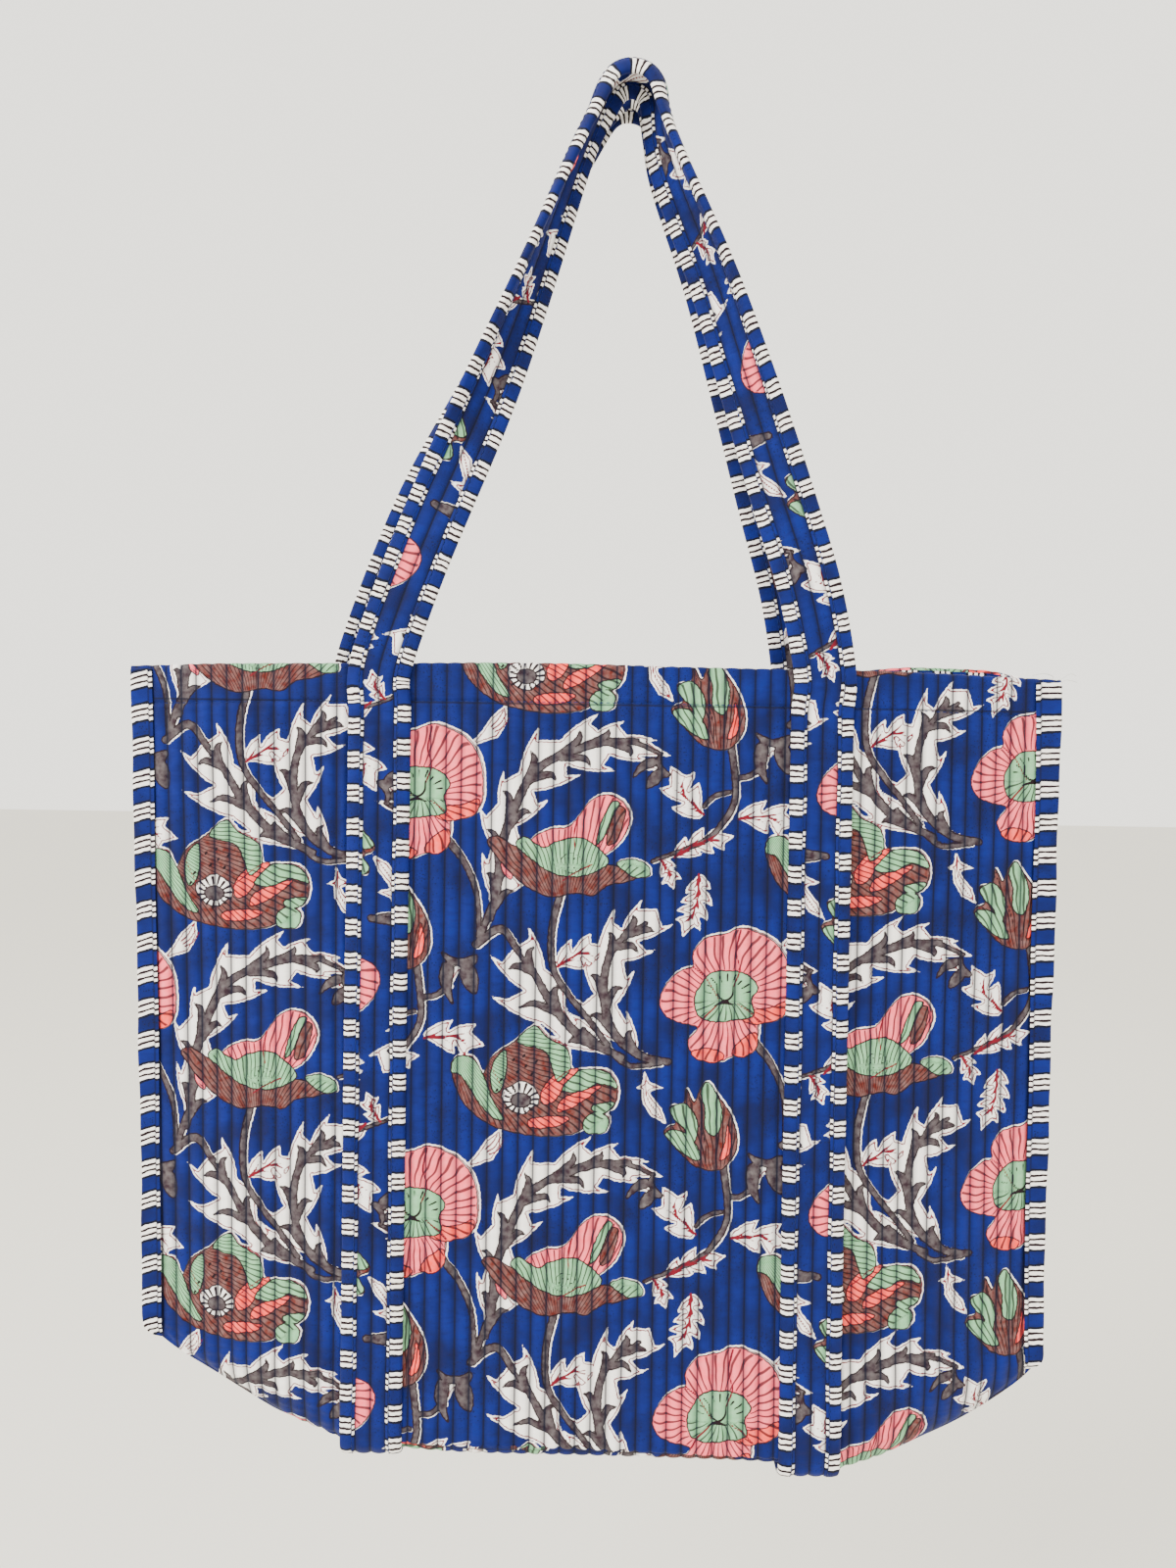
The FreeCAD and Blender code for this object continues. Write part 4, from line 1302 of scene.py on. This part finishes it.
def whole_strap(side, print_x, print_y):
    """One strap with its two tapes and its stitches, from under the bag up over its handle and down again."""
    word = SIDE_WORD[side]
    strap = Strap(side)
    parts = ("handle", "left", "right")
    made = [strap_core(strap, f"{word}_strap", strap_cloth, [f"{word}_{part}_strap" for part in parts],
                       (print_x, print_y - strap.length))]
    runs = []
    for edge_side, edge_word in ((-1, "outer"), (1, "inner")):
        made.append(strap_tape(strap, f"{word}_{edge_word}_tape", edge_side, tape_cloth,
                               [f"{word}_{part}_{edge_word}_binding" for part in parts]))
        across = edge_side * (STRAP_WIDTH / 2 - TAPE_WIDTH + 1.6 * MM)
        for face in (1, -1):
            line = strap.point(across, face * (STRAP_THICK / 2 + TAPE_STAND + 0.25 * MM))[:, 0]
            runs.append((line, strap.out * face))
    made.append(stitches(f"{word}_strap_stitches", runs, blue_thread, body=None))
    for piece in made:
        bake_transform(piece)


def hem_stitches(side):
    """The line of stitches that holds the hem tape, on the outside of the cover."""
    x = np.linspace(-MOUTH_HALF + 9 * MM, MOUTH_HALF - 9 * MM, 400)
    z = mouth_height(x, side) - HEM_DEPTH
    y = outer_face(x, z, side, np.full(len(x), HEM_DEPTH))
    facing = np.tile([0.0, side, 0.0], (len(x), 1))
    runs = [(bag_points(side, x, y, z), facing)]
    stitches(f"{SIDE_WORD[side]}_hem_stitches", runs, blue_thread, radius=0.25 * MM)


whole_strap(-1, 0.0295, 0.351)
whole_strap(1, 0.0895, 0.401)
hem_stitches(-1)
hem_stitches(1)

# the ends of the sewing thread at the right top corner, as steps from there in millimetres
LOOSE_ENDS = (((6, -1, 1.5), (10, -2, 4), (13, -2, 3)), ((2, -1, 2.5), (-3, -2, 4), (-9, -2, 3)),
              ((5, -1, -1), (8, -2, 1), (14, -1, 0)))
corner_top = (BAG_X + MOUTH_HALF - 6 * MM, -1.5 * MM, mouth_height(np.array(MOUTH_HALF), -1) + 0.5 * MM)
for number, offsets in enumerate(LOOSE_ENDS):
    loose_thread(f"loose_thread_{number + 1}", corner_top, np.array(offsets) * MM, pale_thread)

# ---- camera, light and floor ------------------------------------------------------------
CAMERA_PLACE = (BAG_X - 0.0066, -0.5876, -0.3085)
PITCH, YAW, ROLL = math.radians(-2.6), math.radians(0.08), math.radians(0.89)
LENS_MM = 27.05
camera_data = bpy.data.cameras.new("camera")
camera_data.sensor_fit = "VERTICAL"
camera_data.sensor_height = 36.0
camera_data.lens = LENS_MM
camera = bpy.data.objects.new("camera", camera_data)
bpy.context.scene.collection.objects.link(camera)
camera.location = CAMERA_PLACE
forward = Vector((math.sin(YAW) * math.cos(PITCH), math.cos(YAW) * math.cos(PITCH), math.sin(PITCH)))
aim = forward.to_track_quat("-Z", "Y").to_matrix()
camera.rotation_euler = (aim @ Matrix.Rotation(ROLL, 3, "Z")).to_euler()
bpy.context.scene.camera = camera


def soft_light(name, place, target, power, size, colour=(1, 1, 1)):
    """A square lamp that looks at a target."""
    data = bpy.data.lights.new(name, "AREA")
    data.energy = power
    data.size = size
    data.color = colour
    lamp = bpy.data.objects.new(name, data)
    bpy.context.scene.collection.objects.link(lamp)
    lamp.location = place
    lamp.rotation_euler = (Vector(target) - Vector(place)).to_track_quat("-Z", "Y").to_euler()


soft_light("key", (-1.6, -1.5, 0.9), (0, 0, -0.4), 95, 1.0, (1.0, 0.98, 0.95))
soft_light("fill", (1.8, -1.6, -0.1), (0, 0, -0.4), 14, 1.8, (0.95, 0.97, 1.0))
soft_light("rim", (0.3, 1.8, 1.2), (0, 0, -0.3), 14, 1.5)

world = bpy.data.worlds.new("pale")
world.use_nodes = True
world.node_tree.nodes["Background"].inputs[0].default_value = linear(226, 223, 214)
world.node_tree.nodes["Background"].inputs[1].default_value = 3.0
bpy.context.scene.world = world

floor_shader = Shader("pale_floor", 0.9)
position = floor_shader.node("ShaderNodeNewGeometry").outputs["Position"]
tone = floor_shader.mix(linear(222, 219, 210), linear(226, 223, 214), floor_shader.noise(position, 0.6, 1.0))
floor_shader.finish(tone, floor_shader.noise(position, 40.0, 2.0), 0.02, 0.2 * MM)
FLOOR_Z = BASE_Z - 0.35       # well below the hanging bag
FLOOR_HALF = 9
floor_points = [(FLOOR_HALF * x, FLOOR_HALF * y, FLOOR_Z) for x, y in ((-1, -1), (1, -1), (1, 1), (-1, 1))]
floor = new_mesh("floor", floor_points, [(0, 1, 2, 3)])
floor.data.materials.append(floor_shader.material)
